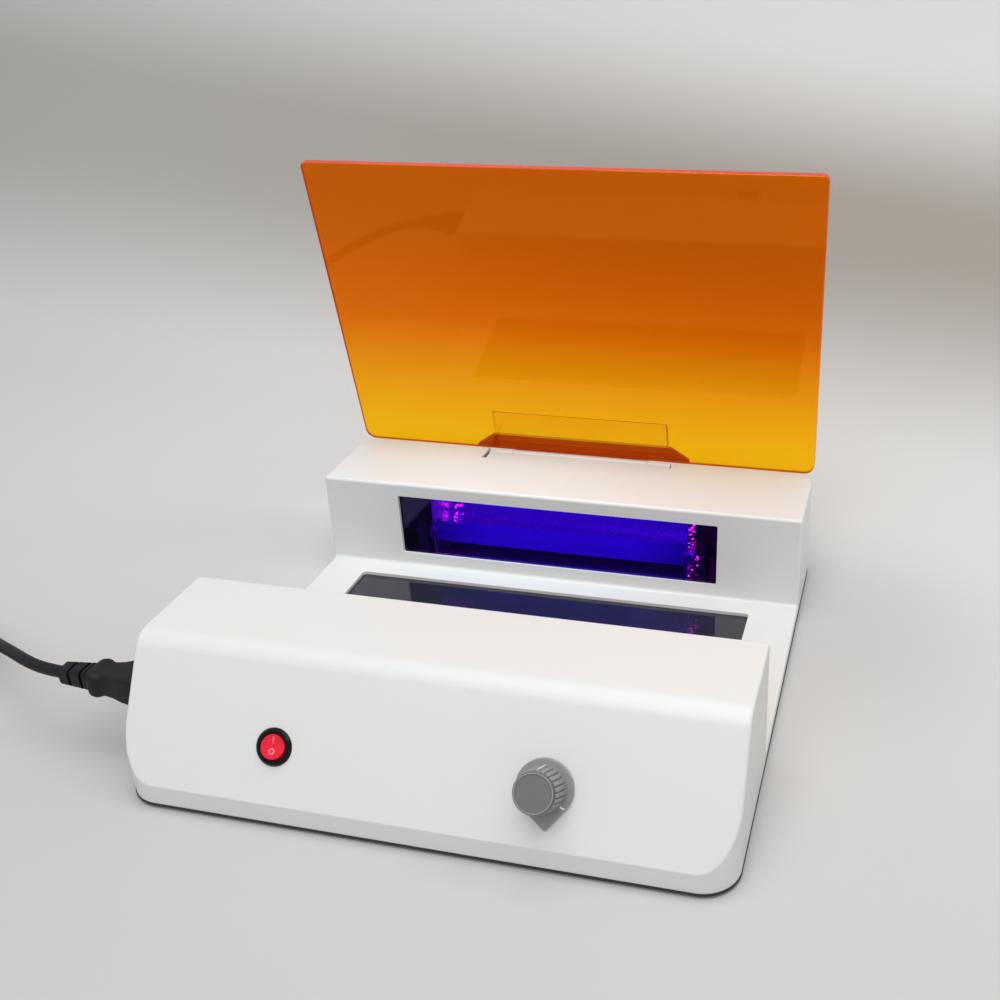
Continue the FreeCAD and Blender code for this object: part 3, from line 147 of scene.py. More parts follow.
class KnobValues(PropertyGroup):
    """The fluted dimmer knob."""
    grey: colour("Grey", "knob's moulding", (0.255, 0.255, 0.243))
    cap_grey: colour("Cap grey", "cap disc", (0.150, 0.156, 0.152))
    flutes: IntProperty(name="Flutes", description="Grooves round the knob's barrel", default=24, min=6)
    flute_depth: length("Flute depth", "Depth of each groove", 0.0013, min=0.0)
    foot_radius: length("Foot radius", "Radius of the barrel at its skirt", 0.0131)
    top_radius: length("Top radius", "Radius of the barrel at its cap", 0.0123)
    low: length("Barrel foot", "Height of the barrel's foot over the panel", 0.00325)
    high: length("Barrel top", "Height of the barrel's top over the panel", 0.0216)
    # The cap's bright rim is a painted highlight: a thin bright metal ring.
    rim_radius: length("Rim radius", "Radius of the cap's bright rim", 0.0107)
    rim_half: length("Rim half width", "Half the width of the cap's bright rim", 0.0002)
    mark_half: length("Mark half width", "Half the width of the skirt's white mark", 0.0005)


class SwitchValues(PropertyGroup):
    """The lit rocker switch."""
    red: colour("Red", "lit rocker", (0.62, 0.006, 0.024))
    mark: colour("Mark", "rocker's marks", (0.88, 0.18, 0.24))
    ring_radius: length("Ring radius", "Middle radius of the off mark", 0.0015)
    ring_half: length("Ring half width", "Half the width of the off mark's line", 0.00042)
    ring_place: length("Ring place", "Place of the off mark up the panel", -0.0024)
    bar_length: length("Bar length", "Length of the on mark", 0.0038)
    bar_half: length("Bar half width", "Half the width of the on mark", 0.00035)
    bar_place: length("Bar place", "Place of the on mark's middle up the panel", 0.0042)


class CordValues(PropertyGroup):
    """The mains lead and its tied coil."""
    radius: length("Cord radius", "Half the lead's diameter", 0.004)
    real_length: length("Length", "Length of the whole lead", 1.8)
    coil_x: length("Coil x", "Middle of the coil across", -0.428)
    coil_y: length("Coil y", "Middle of the coil along", -0.0928)
    inner: length("Inner turn", "Radius of the inner turns", 0.0358)
    middle: length("Middle turn", "Radius of the middle turns", 0.0440)
    outer: length("Outer turn", "Radius of the outer turns", 0.0522)
    low: length("Lower layer", "Height of the lower layer's middle", 0.00515)
    high: length("Upper layer", "Height of the upper layer's middle", 0.01325)
    steps: IntProperty(name="Points a turn", description="Control points in each turn", default=16, min=12)


class StageValues(PropertyGroup):
    """The floor, the lights and the camera."""
    paper: colour("Floor", "pale floor", (0.585, 0.574, 0.562))
    # The backdrop's two band colours are painted shade, lighter on the left than on the right.
    dusk_left: colour("Backdrop left", "dimmer band on the left", (0.45, 0.432, 0.405))
    dusk_right: colour("Backdrop right", "dimmer band on the right", (0.33, 0.298, 0.262))
    key_power: number("Key light", "Power of the large overhead light in watts", 12.4)
    fill_power: number("Fill light", "Power of the light beside the camera", 11.0)
    back_power: number("Back light", "Power of the light on the backdrop", 8.0)
    top_power: number("Top light", "Power of the spot on the lamp box's top", 10.0)
    sky: number("Room light", "Strength of the even room light", 0.54)
    frame_width: number("Frame width", "Width of the camera's frame in millimetres", 36.0)
    lens: number("Lens", "Focal length on that frame in millimetres", 42.33)
    shift_x: number("Shift across", "Sideways shift of the frame", -0.106)
    shift_y: number("Shift up", "Upward shift of the frame", 0.078)
    eye: FloatVectorProperty(name="Eye", description="Place of the camera", default=(0.2415, -0.6388, 0.4635), size=3,
                             unit="LENGTH")
    yaw: number("Yaw", "Turn of the camera to the left", 0.26473, subtype="ANGLE")
    pitch: number("Pitch", "Tilt of the camera down", 0.52578, subtype="ANGLE")
    roll: number("Roll", "Roll of the camera", -0.02784, subtype="ANGLE")


class TransilluminatorValues(PropertyGroup):
    """All the values that the maker may change."""
    shell: PointerProperty(type=ShellValues)
    window: PointerProperty(type=WindowValues)
    cover: PointerProperty(type=CoverValues)
    knob: PointerProperty(type=KnobValues)
    switch: PointerProperty(type=SwitchValues)
    cord: PointerProperty(type=CordValues)
    stage: PointerProperty(type=StageValues)


class Nodes:
    """Writes the nodes of one tree: an input is given a plain value or another node's socket."""

    def __init__(self, tree):
        self.tree = tree

    def add(self, kind, inputs=None, out=0, **settings):
        node = self.tree.nodes.new(kind)
        for name, value in settings.items():
            setattr(node, name, value)
        for key, value in (inputs or {}).items():
            self.put(node.inputs[key], value)
        if out is None:
            return node
        return node.outputs[out]

    def put(self, socket, value):
        if isinstance(value, bpy.types.NodeSocket):
            self.tree.links.new(value, socket)
        elif socket.type == "RGBA" and len(value) == 3:
            socket.default_value = (*value, 1.0)
        else:
            socket.default_value = value

    def math(self, operation, *values):
        return self.add("ShaderNodeMath", dict(enumerate(values)), operation=operation)

    def blend(self, factor, first, second):
        """The colour between two, by a factor."""
        return self.add("ShaderNodeMix", {0: factor, 6: first, 7: second}, out=2, data_type="RGBA")

    def ease(self, value, low, high):
        """A smooth rise from 0 at one value to 1 at another."""
        return self.add("ShaderNodeMapRange", {0: value, 1: low, 2: high}, interpolation_type="SMOOTHSTEP")

    def span(self, value, low, high, to_low=0.0, to_high=1.0):
        """The value carried from one range to another, and held within it."""
        return self.add("ShaderNodeMapRange", {0: value, 1: low, 2: high, 3: to_low, 4: to_high})


def group_tree(name, inputs, outputs):
    """An empty shader node group: its Nodes, its input sockets by name and its output node."""
    tree = bpy.data.node_groups.new(name, "ShaderNodeTree")
    for label, default in inputs:
        socket = tree.interface.new_socket(label, in_out="INPUT", socket_type="NodeSocketFloat")
        socket.default_value = default
    for label in outputs:
        tree.interface.new_socket(label, in_out="OUTPUT", socket_type="NodeSocketFloat")
    nodes = Nodes(tree)
    given = nodes.add("NodeGroupInput", out=None)
    result = nodes.add("NodeGroupOutput", out=None)
    return nodes, given.outputs, result


def moulded_grain():
    """Fine moulded texture: its height, and slow cloudy changes of shade."""
    nodes, given, result = group_tree("moulded_grain", [("Scale", 900.0), ("Cloud Scale", 14.0)], ["Height", "Shade"])
    place = nodes.add("ShaderNodeTexCoord", out="Object")
    fine = nodes.add("ShaderNodeTexNoise", {"Vector": place, "Scale": given["Scale"], "Detail": 3.0, "Roughness": 0.6})
    cloud = nodes.add("ShaderNodeTexNoise", {"Vector": place, "Scale": given["Cloud Scale"], "Detail": 4.0})
    nodes.put(result.inputs["Height"], fine)
    nodes.put(result.inputs["Shade"], nodes.span(cloud, 0.3, 0.7))
    return nodes.tree


def handling_marks():
    """Faint wipes and finger marks on a gloss surface, as a mask."""
    nodes, given, result = group_tree("handling_marks", [("Scale", 22.0), ("Stretch", 3.0)], ["Mask"])
    place = nodes.add("ShaderNodeTexCoord", out="Object")
    stretch = nodes.add("ShaderNodeCombineXYZ", {0: 1.0, 1: given["Stretch"], 2: 1.0})
    wiped = nodes.add("ShaderNodeVectorMath", {0: place, 1: stretch}, operation="MULTIPLY")
    broad = nodes.add("ShaderNodeTexNoise", {"Vector": wiped, "Scale": given["Scale"], "Detail": 5.0,
                                             "Distortion": 0.6})
    nodes.put(result.inputs["Mask"], nodes.span(broad, 0.45, 0.75))
    return nodes.tree


def settled_dust():
    """Specks of dust on faces that look up, as a mask."""
    nodes, given, result = group_tree("settled_dust", [("Scale", 700.0), ("Amount", 0.3)], ["Mask"])
    place = nodes.add("ShaderNodeTexCoord", out="Object")
    normal = nodes.add("ShaderNodeNewGeometry", out="Normal")
    up = nodes.add("ShaderNodeSeparateXYZ", {0: normal}, out="Z")
    speck = nodes.add("ShaderNodeTexVoronoi", {"Vector": place, "Scale": given["Scale"]}, out="Distance")
    patch = nodes.add("ShaderNodeTexNoise", {"Vector": place, "Scale": 30.0, "Detail": 3.0})
    small = nodes.math("MULTIPLY", nodes.span(speck, 0.16, 0.06), nodes.span(patch, 0.45, 0.7))
    facing = nodes.math("MULTIPLY", small, nodes.span(up, 0.3, 0.9))
    nodes.put(result.inputs["Mask"], nodes.math("MULTIPLY", facing, given["Amount"]))
    return nodes.tree


def drawn_lines():
    """The fine parallel lines of drawn or rolled metal: their height and shade."""
    nodes, given, result = group_tree("drawn_lines", [("Scale", 60.0), ("Across", 40.0)], ["Height", "Shade"])
    place = nodes.add("ShaderNodeTexCoord", out="Object")
    stretch = nodes.add("ShaderNodeCombineXYZ", {0: 1.0, 1: given["Across"], 2: given["Across"]})
    drawn = nodes.add("ShaderNodeVectorMath", {0: place, 1: stretch}, operation="MULTIPLY")
    lines = nodes.add("ShaderNodeTexNoise", {"Vector": drawn, "Scale": given["Scale"], "Detail": 3.0})
    nodes.put(result.inputs["Height"], lines)
    nodes.put(result.inputs["Shade"], nodes.span(lines, 0.3, 0.7))
    return nodes.tree


def effect(nodes, name, **inputs):
    """One of the shared groups placed in a material, with its own values."""
    node = nodes.add("ShaderNodeGroup", out=None, node_tree=bpy.data.node_groups[name])
    for label, value in inputs.items():
        nodes.put(node.inputs[label.replace("_", " ")], value)
    return node.outputs


def new_material(name):
    """A new material's Nodes, and the Principled shader at its surface."""
    material = bpy.data.materials.new(name + FINISH_ENDING)
    material.use_nodes = True
    material.node_tree.nodes.clear()
    nodes = Nodes(material.node_tree)
    shader = nodes.add("ShaderNodeBsdfPrincipled", out=None)
    nodes.add("ShaderNodeOutputMaterial", {"Surface": shader.outputs[0]}, out=None)
    return nodes, shader


def finish_named(name):
    """One of this script's own materials."""
    return bpy.data.materials[name + FINISH_ENDING]


def fill(nodes, shader, **sockets):
    """Set the shader's own sockets, and link those whose value changes over the surface."""
    for label, value in sockets.items():
        nodes.put(shader.inputs[label.replace("_", " ")], value)


def shaded(tint, by):
    """The tint made lighter or darker."""
    return tuple(min(1.0, channel * by) for channel in tint)


def bumped(nodes, height, depth):
    """A normal raised by a height in metres."""
    return nodes.add("ShaderNodeBump", {"Height": height, "Distance": depth, "Strength": 1.0})


def moulded(name, tint, roughness, pebble=900.0, depth=0.00002, spread=0.06, dust=0.12, **sockets):
    """Moulded plastic or rubber: cloudy tint, fine pebble, handled patches and a little dust."""
    nodes, shader = new_material(name)
    grain = effect(nodes, "moulded_grain", Scale=pebble, Cloud_Scale=16.0)
    marks = effect(nodes, "handling_marks", Scale=26.0)
    dusty = effect(nodes, "settled_dust", Amount=dust)
    base = nodes.blend(grain["Shade"], shaded(tint, 1.0 - spread), shaded(tint, 1.0 + spread))
    fill(nodes, shader, Base_Color=nodes.blend(dusty["Mask"], base, DUST),
         Roughness=nodes.span(marks["Mask"], 0.0, 1.0, roughness, min(1.0, roughness + 0.12)),
         Normal=bumped(nodes, grain["Height"], depth), **sockets)


def metal(name, tint, roughness):
    """Bare or plated metal with drawn lines and handled patches."""
    nodes, shader = new_material(name)
    lines = effect(nodes, "drawn_lines", Across=40.0)
    marks = effect(nodes, "handling_marks", Scale=60.0)
    fill(nodes, shader, Base_Color=nodes.blend(lines["Shade"], shaded(tint, 0.9), shaded(tint, 1.06)),
         Roughness=nodes.span(marks["Mask"], 0.0, 1.0, roughness, roughness + 0.15),
         Normal=bumped(nodes, lines["Height"], 0.000008), Metallic=1.0)


def shell_white(values):
    """Thermoformed white sheet: a fine pebble, a satin skin and the faintest yellowing."""
    nodes, shader = new_material("shell_white")
    grain = effect(nodes, "moulded_grain", Scale=values.pebble, Cloud_Scale=7.0)
    marks = effect(nodes, "handling_marks", Scale=9.0)
    dusty = effect(nodes, "settled_dust", Amount=0.22, Scale=420.0)
    warm = tuple(channel * part for channel, part in zip(values.white, (1.01, 0.995, 0.97)))
    base = nodes.blend(grain["Shade"], values.white, warm)
    fill(nodes, shader, Base_Color=nodes.blend(dusty["Mask"], base, SHELL_DUST),
         Roughness=nodes.span(marks["Mask"], 0.0, 1.0, 0.30, 0.40),
         Normal=bumped(nodes, grain["Height"], values.pebble_depth), Specular_IOR_Level=0.45)


def amber_acrylic(values):
    """Polished amber sheet with faint wipe marks on its skin: its tint is painted light, yellower at its foot and
    redder at its top, and it has a painted glow.
    """
    nodes, shader = new_material("amber_acrylic")
    place = nodes.add("ShaderNodeTexCoord", out="Object")
    height = nodes.add("ShaderNodeSeparateXYZ", {0: place}, out="Z")
    low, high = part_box("cover_plate")
    # Painted light: the tint runs from yellow at the foot to red at the top, standing in for the brighter light
    # through the sheet's lower part.
    rise = nodes.span(height, low.z + 0.015, low.z + 0.50 * (high.z - low.z))
    marks = effect(nodes, "handling_marks", Scale=12.0)
    # The emission is a painted glow in the sheet.
    fill(nodes, shader, Base_Color=nodes.blend(rise, values.foot_tint, values.top_tint),
         Roughness=nodes.span(marks["Mask"], 0.0, 1.0, 0.015, 0.05), Transmission_Weight=1.0, IOR=1.49,
         Specular_Tint=(1.0, 0.5, 0.04), Emission_Strength=1.0, Emission_Color=values.inner_glow)


def edge_red(values):
    """The cut edges of the amber sheet in a pinkish red, with a painted glow for the light that gathers at them."""
    nodes, shader = new_material("edge_red")
    lines = effect(nodes, "drawn_lines", Scale=240.0, Across=6.0)
    tint = nodes.blend(lines["Shade"], shaded(values.edge_tint, 0.75), shaded(values.edge_tint, 1.25))
    # The emission is a painted glow on the edges.
    fill(nodes, shader, Base_Color=tint, Emission_Color=tint, Normal=bumped(nodes, lines["Height"], 0.00002),
         Roughness=0.35, Emission_Strength=0.16)


def clear_strip():
    """The stiffening strip: amber seen as deep orange through the cover."""
    nodes, shader = new_material("clear_strip")
    marks = effect(nodes, "handling_marks", Scale=20.0)
    fill(nodes, shader, Base_Color=nodes.blend(marks["Mask"], (0.93, 0.92, 0.88), (0.88, 0.86, 0.80)),
         Roughness=nodes.span(marks["Mask"], 0.0, 1.0, 0.04, 0.1), Transmission_Weight=1.0, IOR=1.49)


def polished(name, clouds, tints, wipes, roughness, **sockets):
    """Polished glass: a cloudy tint between two colours, and a skin with wipe marks."""
    nodes, shader = new_material(name)
    grain = effect(nodes, "moulded_grain", Scale=clouds[0], Cloud_Scale=clouds[1])
    marks = effect(nodes, "handling_marks", Scale=wipes[0], Stretch=wipes[1])
    fill(nodes, shader, Base_Color=nodes.blend(grain["Shade"], *tints),
         Roughness=nodes.span(marks["Mask"], 0.0, 1.0, *roughness), **sockets)


def luminous(name, clouds, tints, roughness, strength):
    """A surface that gives light of its own grained colour."""
    nodes, shader = new_material(name)
    grain = effect(nodes, "moulded_grain", Scale=clouds[0], Cloud_Scale=clouds[1])
    tint = nodes.blend(grain["Shade"], *tints)
    fill(nodes, shader, Base_Color=tint, Emission_Color=tint, Roughness=roughness, Emission_Strength=strength)


def glowing_tube(values):
    """The lit lamp: blue glow, a little dimmer toward its ends and along the phosphor's streaks."""
    nodes, shader = new_material("glowing_tube")
    place = nodes.add("ShaderNodeTexCoord", out="Object")
    along = nodes.math("ABSOLUTE", nodes.add("ShaderNodeSeparateXYZ", {0: place}, out="X"))
    ends = nodes.span(along, 0.060, 0.098, 1.0, 0.25)
    streaks = effect(nodes, "drawn_lines", Scale=12.0, Across=20.0)
    tint = nodes.blend(streaks["Shade"], shaded(values.glow, 0.85), values.glow)
    fill(nodes, shader, Base_Color=tint, Emission_Color=nodes.blend(ends, BLACK, tint), Roughness=0.3,
         Emission_Strength=values.glow_power)


def hammered_aluminium(values):
    """The reflector's bright stucco-embossed sheet, with a painted glow of the lamp's light on the faces turned to the
    lamp.
    """
    nodes, shader = new_material("hammered_aluminium")
    place = nodes.add("ShaderNodeTexCoord", out="Object")
    dents = nodes.add("ShaderNodeTexVoronoi", {"Vector": place, "Scale": 260.0}, out="Distance")
    lines = effect(nodes, "drawn_lines", Across=8.0)
    # Painted light: the faces turned toward the lamp are given a glow in the lamp's colour.
    facing = nodes.add("ShaderNodeSeparateXYZ", {0: nodes.add("ShaderNodeNewGeometry", out="Normal")}, out="Y")
    painted_glow_side = nodes.span(facing, 0.0, -0.3)
    fill(nodes, shader, Base_Color=nodes.blend(lines["Shade"], (0.74, 0.74, 0.76), (0.86, 0.86, 0.88)),
         Roughness=nodes.span(dents, 0.0, 0.7, 0.22, 0.34), Normal=bumped(nodes, dents, 0.00012), Metallic=1.0,
         Emission_Color=nodes.blend(painted_glow_side, BLACK, values.glow), Emission_Strength=0.42)


def lit_red(values):
    """The rocker's translucent red, lit from inside: brightest over its lamp."""
    nodes, shader = new_material("lit_red")
    place = nodes.add("ShaderNodeTexCoord", out="Object")
    away = nodes.add("ShaderNodeVectorMath", {0: place, 1: SWITCH_FOOT}, out="Value", operation="DISTANCE")
    core = nodes.span(away, 0.0015, 0.0095, 1.0, 0.35)
    grain = effect(nodes, "moulded_grain", Scale=1500.0, Cloud_Scale=180.0)
    tint = nodes.blend(grain["Shade"], values.red, shaded(values.red, 1.12))
    fill(nodes, shader, Base_Color=tint, Emission_Color=nodes.blend(core, shaded(values.red, 0.25), tint),
         Normal=bumped(nodes, grain["Height"], 0.000006), Roughness=0.22, Emission_Strength=0.22,
         Specular_IOR_Level=0.45)


def make_materials(values):
    """Every finish of the instrument, by the record's slot or by the piece that wears it."""
    for shared in (moulded_grain, handling_marks, settled_dust, drawn_lines):
        shared()
    shell, window, knob, mark = values.shell, values.window, values.knob, values.switch.mark
    shell_white(shell)
    amber_acrylic(values.cover)
    edge_red(values.cover)
    clear_strip()
    polished("filter_blue", (30.0, 9.0), (shaded(window.filter_tint, 0.94), shaded(window.filter_tint, 1.06)),
             (24.0, 3.0), (0.01, 0.035), Transmission_Weight=1.0, IOR=1.45, Specular_Tint=(0.55, 0.45, 0.9))
    polished("glass_dark", (26.0, 8.0), (window.glass, shaded(window.glass, 1.5)), (30.0, 9.0), (0.012, 0.05),
             IOR=1.71)
    glowing_tube(window)
    hammered_aluminium(window)
    luminous("spark_glow", (400.0, 120.0), (window.spark, (1.0, 0.25, 0.6)), 0.4, 12.0)
    lit_red(values.switch)
    luminous("glowing_mark", (2500.0, 400.0), (mark, shaded(mark, 0.85)), 0.3, 0.12)
    moulded("base_dark", shell.foot, 0.62, depth=0.00003)
    moulded("foot_rubber", (0.02, 0.02, 0.021), 0.75, pebble=1400.0, depth=0.00003)
    moulded("hinge_white", shell.white, 0.38, pebble=600.0, depth=0.00001, spread=0.02)
    moulded("holder_white", (0.72, 0.72, 0.69), 0.45)
    # The lampholders' dark purplish finish is painted shade tinted by the lamp's light.
    moulded("holder_dim", (0.16, 0.06, 0.10), 0.45)
    moulded("leaf_red", values.cover.leaf_tint, 0.3)
    moulded("gloss_black", (0.005, 0.003, 0.003), 0.2, depth=0.000006, dust=0.03, Specular_IOR_Level=0.2)
    moulded("mark_white", (0.86, 0.86, 0.84), 0.35)
    moulded("strip_edge", (0.80, 0.79, 0.76), 0.3)
    # Painted shade: the near-black finish of the knob cap's side faces.
    moulded("cap_side_black", (0.02, 0.02, 0.02), 0.5)
    # Painted highlight: the bright metal of the ring laid round the knob cap's edge.
    metal("cap_rim", (0.62, 0.63, 0.61), 0.22)
    moulded("knob_grey", knob.grey, 0.34, pebble=1800.0, depth=0.00001)
    moulded("knob_cap_grey", knob.cap_grey, 0.36, pebble=2600.0, depth=0.000012)
    moulded("index_white", (0.66, 0.66, 0.64), 0.5)
    moulded("socket_black", (0.018, 0.018, 0.019), 0.5)
    moulded("cord_black", (0.007, 0.007, 0.008), 0.5, pebble=1600.0, depth=0.00002, dust=0.05, Specular_IOR_Level=0.3)
    moulded("pad_foam", (0.05, 0.05, 0.052), 0.9, pebble=2200.0, depth=0.00008)
    moulded("board_green", (0.015, 0.12, 0.05), 0.35)
    moulded("terminal_green", (0.03, 0.28, 0.10), 0.4)
    moulded("wire_brown", (0.12, 0.045, 0.018), 0.4)
    metal("screw_steel", (0.62, 0.62, 0.63), 0.28)
    metal("contact_brass", (0.74, 0.60, 0.32), 0.25)
    metal("rail_aluminium", (0.78, 0.78, 0.80), 0.35)
    metal("choke_core", (0.16, 0.16, 0.17), 0.45)
    moulded("tray_white", (0.62, 0.62, 0.60), 0.4)


SLOT_FINISH = {
    "white_shell": "shell_white", "dark_base": "base_dark", "white_block": "holder_white",
    "dark_glass": "glass_dark", "blue_filter": "filter_blue", "aluminium_rail": "rail_aluminium",
    "clear_acrylic": "clear_strip", "red_acrylic": "leaf_red", "white_hinge": "hinge_white",
    "black_gloss": "gloss_black", "red_rocker": "lit_red", "brass_pin": "contact_brass",
    "black_matte": "socket_black", "lamp_glass": "glowing_tube", "tray_steel": "tray_white",
    "reflector_aluminium": "hammered_aluminium", "wire_sheath": "wire_brown",
}


def own_finish(node):
    """The finish of a node's slot: the table's, or the one with the slot's own name."""
    return SLOT_FINISH.get(SLOT_OF[node], SLOT_OF[node])


def linked(name, data):
    """A new object of the scene."""
    thing = bpy.data.objects.new(name, data)
    bpy.context.scene.collection.objects.link(thing)
    return thing


def placed(name, mesh, body, slot, *replaced):
    """A finished mesh as a piece that rides on a body."""
    piece = linked(name, mesh)
    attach(piece, body)
    if replaced:
        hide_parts(*replaced)
    return piece


def mesh_of(name, points, faces, finish, smooth=True):
    """A mesh from its points and faces, in one finish."""
    mesh = bpy.data.meshes.new(name)
    mesh.from_pydata(points, [], faces)
    mesh.materials.append(finish_named(finish))
    if smooth:
        mesh.shade_smooth()
        mesh.set_sharp_from_angle(angle=SMOOTH_ANGLE)
    return mesh


def joined_copy(node):
    """The CAD node's mesh as points and faces, with the corners that its triangles share joined."""
    form = bmesh.new()
    form.from_mesh(frame["nodes"][node].data)
    bmesh.ops.remove_doubles(form, verts=form.verts, dist=WELD)
    form.verts.index_update()
    points = [tuple(corner.co) for corner in form.verts]
    faces = [[corner.index for corner in face.verts] for face in form.faces]
    form.free()
    return points, faces


def dress(node, finish=None):
    """The CAD node shown as a smooth-shaded copy in its own finish."""
    points, faces = joined_copy(node)
    mesh = mesh_of(node + "_skin", points, faces, finish or own_finish(node))
    piece = placed(node + "_skin", mesh, BODY_OF[node], SLOT_OF[node], node)
    weights = piece.modifiers.new("face_weights", "WEIGHTED_NORMAL")
    weights.keep_sharp = True
    return piece


def face_apart(piece, direction, limit, finish):
    """Give a second finish to the faces that look away from a direction."""
    piece.data.materials.append(finish_named(finish))
    for face in piece.data.polygons:
        if abs(face.normal.dot(direction)) < limit:
            face.material_index = 1


def paint(node):
    """The CAD node shown as it is, in its own finish."""
    mesh = frame["nodes"][node].data
    mesh.materials.clear()
    mesh.materials.append(finish_named(own_finish(node)))


def on_panel(foot, across, up, out):
    """A point of the sloped front panel: across and up it, and out from it, from a control's foot."""
    return foot + Vector((across, 0.0, 0.0)) + PANEL_UP * up + PANEL_OUT * out


class BuildStep:
    """One step of the build, run with the maker's values."""

    def execute(self, context):
        self.build(context.scene.transilluminator)
        return {"FINISHED"}


class TRANSILLUMINATOR_OT_finishes(BuildStep, Operator):
    """Make the shared shader groups and every finish"""
    bl_idname = "transilluminator.finishes"
    bl_label = "Finishes"

    def build(self, values):
        make_materials(values)


class TRANSILLUMINATOR_OT_housing(BuildStep, Operator):
    """Dress the white shell, its dark base plate, feet and screws"""
    bl_idname = "transilluminator.housing"
    bl_label = "Housing"

    def build(self, values):
        for node in ("housing_shell", "rubber_feet", "base_screws"):
            dress(node)
        base = dress("base_plate")
        rim = values.shell.base_rim
        low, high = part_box("base_plate")
        middle = (low + high) / 2
        for corner in base.data.vertices:
            for axis in (0, 1):
                reach = corner.co[axis] - middle[axis]
                corner.co[axis] += rim * reach / (high[axis] - middle[axis])
        paint("screw_blocks")


def growth_tree(name, inputs):
    """An empty Geometry Nodes tree with named inputs: its Nodes and its input sockets."""
    tree = bpy.data.node_groups.new(name, "GeometryNodeTree")
    tree.interface.new_socket("Geometry", in_out="INPUT", socket_type="NodeSocketGeometry")
    for label, default in inputs:
        kind = "NodeSocketInt" if isinstance(default, int) else "NodeSocketFloat"
        tree.interface.new_socket(label, in_out="INPUT", socket_type=kind).default_value = default
    tree.interface.new_socket("Finish", in_out="INPUT", socket_type="NodeSocketMaterial")
    tree.interface.new_socket("Geometry", in_out="OUTPUT", socket_type="NodeSocketGeometry")
    nodes = Nodes(tree)
    return nodes, nodes.add("NodeGroupInput", out=None).outputs


def end_growth(nodes, geometry, finish):
    """End a Geometry Nodes tree in real geometry with its material."""
    real = nodes.add("GeometryNodeRealizeInstances", {"Geometry": geometry})
    done = nodes.add("GeometryNodeSetMaterial", {"Geometry": real, "Material": finish})
    nodes.add("NodeGroupOutput", {"Geometry": done}, out=None)
    return nodes.tree


def spark_tree():
    """Geometry Nodes that put a small blob of random size on each point of a mesh."""
    nodes, given = growth_tree("spark_scatter", (("Smallest", 0.25), ("Largest", 1.0), ("Blob Radius", 0.0011),
                                                 ("Seed", 7)))
    size = nodes.add("FunctionNodeRandomValue", {"Seed": given["Seed"]}, out=None, data_type="FLOAT")
    blob = nodes.add("GeometryNodeMeshIcoSphere", {"Radius": given["Blob Radius"], "Subdivisions": 2})
    enabled = {socket.name: socket for socket in size.inputs if socket.enabled}
    nodes.put(enabled["Min"], given["Smallest"])
    nodes.put(enabled["Max"], given["Largest"])
    value = next(socket for socket in size.outputs if socket.enabled)
    spots = nodes.add("GeometryNodeInstanceOnPoints", {"Points": given["Geometry"], "Instance": blob, "Scale": value})
    return end_growth(nodes, spots, given["Finish"])


def socket_key(tree, label):
    """The identifier of a tree's input, by its name."""
    return next(item.identifier for item in tree.interface.items_tree
                if item.name == label and item.in_out == "INPUT")


def grown(name, tree, points, **inputs):
    """The plain mesh that a Geometry Nodes tree makes from some points."""
    seedling = linked(name + "_seed", bpy.data.meshes.new(name + "_seed"))
    seedling.data.from_pydata(points, [], [])
    growth = seedling.modifiers.new("growth", "NODES")
    growth.node_group = tree
    for label, value in inputs.items():
        growth[socket_key(tree, label.replace("_", " "))] = value
    graph = bpy.context.evaluated_depsgraph_get()
    mesh = bpy.data.meshes.new_from_object(seedling.evaluated_get(graph))
    mesh.name = name
    bpy.data.objects.remove(seedling)
    return mesh


def surface_of(node):
    """A CAD node's faces, ready for rays to be cast at them."""
    points, faces = joined_copy(node)
    return BVHTree.FromPolygons([Vector(point) for point in points], faces)


def spark_points(count, reach):
    """Places on the reflector near its left end, and on its right end and the lampholder beside that."""
    surface, holder = surface_of("reflector"), surface_of("lampholders")
    low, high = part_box("reflector")
    chance = random.Random(21)
    found = []
    for side in (-1, 1):
        edge = high.x if side > 0 else low.x
        tries = 0
        while tries < count:
            tries += 1
            inward = reach * chance.random() ** 2.0
            height = low.z + 0.010 + (high.z - low.z - 0.016) * chance.random()
            start = Vector((edge - side * (0.0045 + inward), low.y - 0.02, height))
            ahead = Vector((0.0, 1.0, 0.0))
            target = surface
            if side > 0 and tries % 3:
                start = Vector((edge + 0.01, low.y + 0.001 + 0.026 * chance.random(), height))
                ahead = Vector((-1.0, 0.0, 0.0))
            elif side > 0:
                start.x = edge + 0.012 * chance.random()
                target = holder
            hit = target.ray_cast(start, ahead)[0]
            if hit:
                found.append(tuple(hit - 0.0004 * ahead))
    return found


class TRANSILLUMINATOR_OT_windows(BuildStep, Operator):
    """Dress the blue window, the lamp and reflector behind it and the dark glass of the bed"""
    bl_idname = "transilluminator.windows"
    bl_label = "Windows"

    def build(self, values):
        window = values.window
        for node in ("lamp_filter", "bed_glass", "lamp_tube", "reflector", "lamp_caps", "filter_rails"):
            dress(node)
        for node in ("lamp_tray", "glass_pads", "lampholder_screws"):
            paint(node)
        # Painted shade: the lampholders get a dark purplish finish tinted by the lamp's light.
        dress("lampholders", "holder_dim")
        # Painted glints: small glowing blobs at the reflector's ends and on the lampholder beside them stand in for
        # the lamp's glints there.
        points = spark_points(window.spark_count, window.spark_reach)
        mesh = grown("reflector_sparks", spark_tree(), points, Smallest=0.14, Largest=0.62,
                     Blob_Radius=window.spark_radius, Seed=7, Finish=finish_named("spark_glow"))
        placed("reflector_sparks", mesh, "housing", "reflector_aluminium")


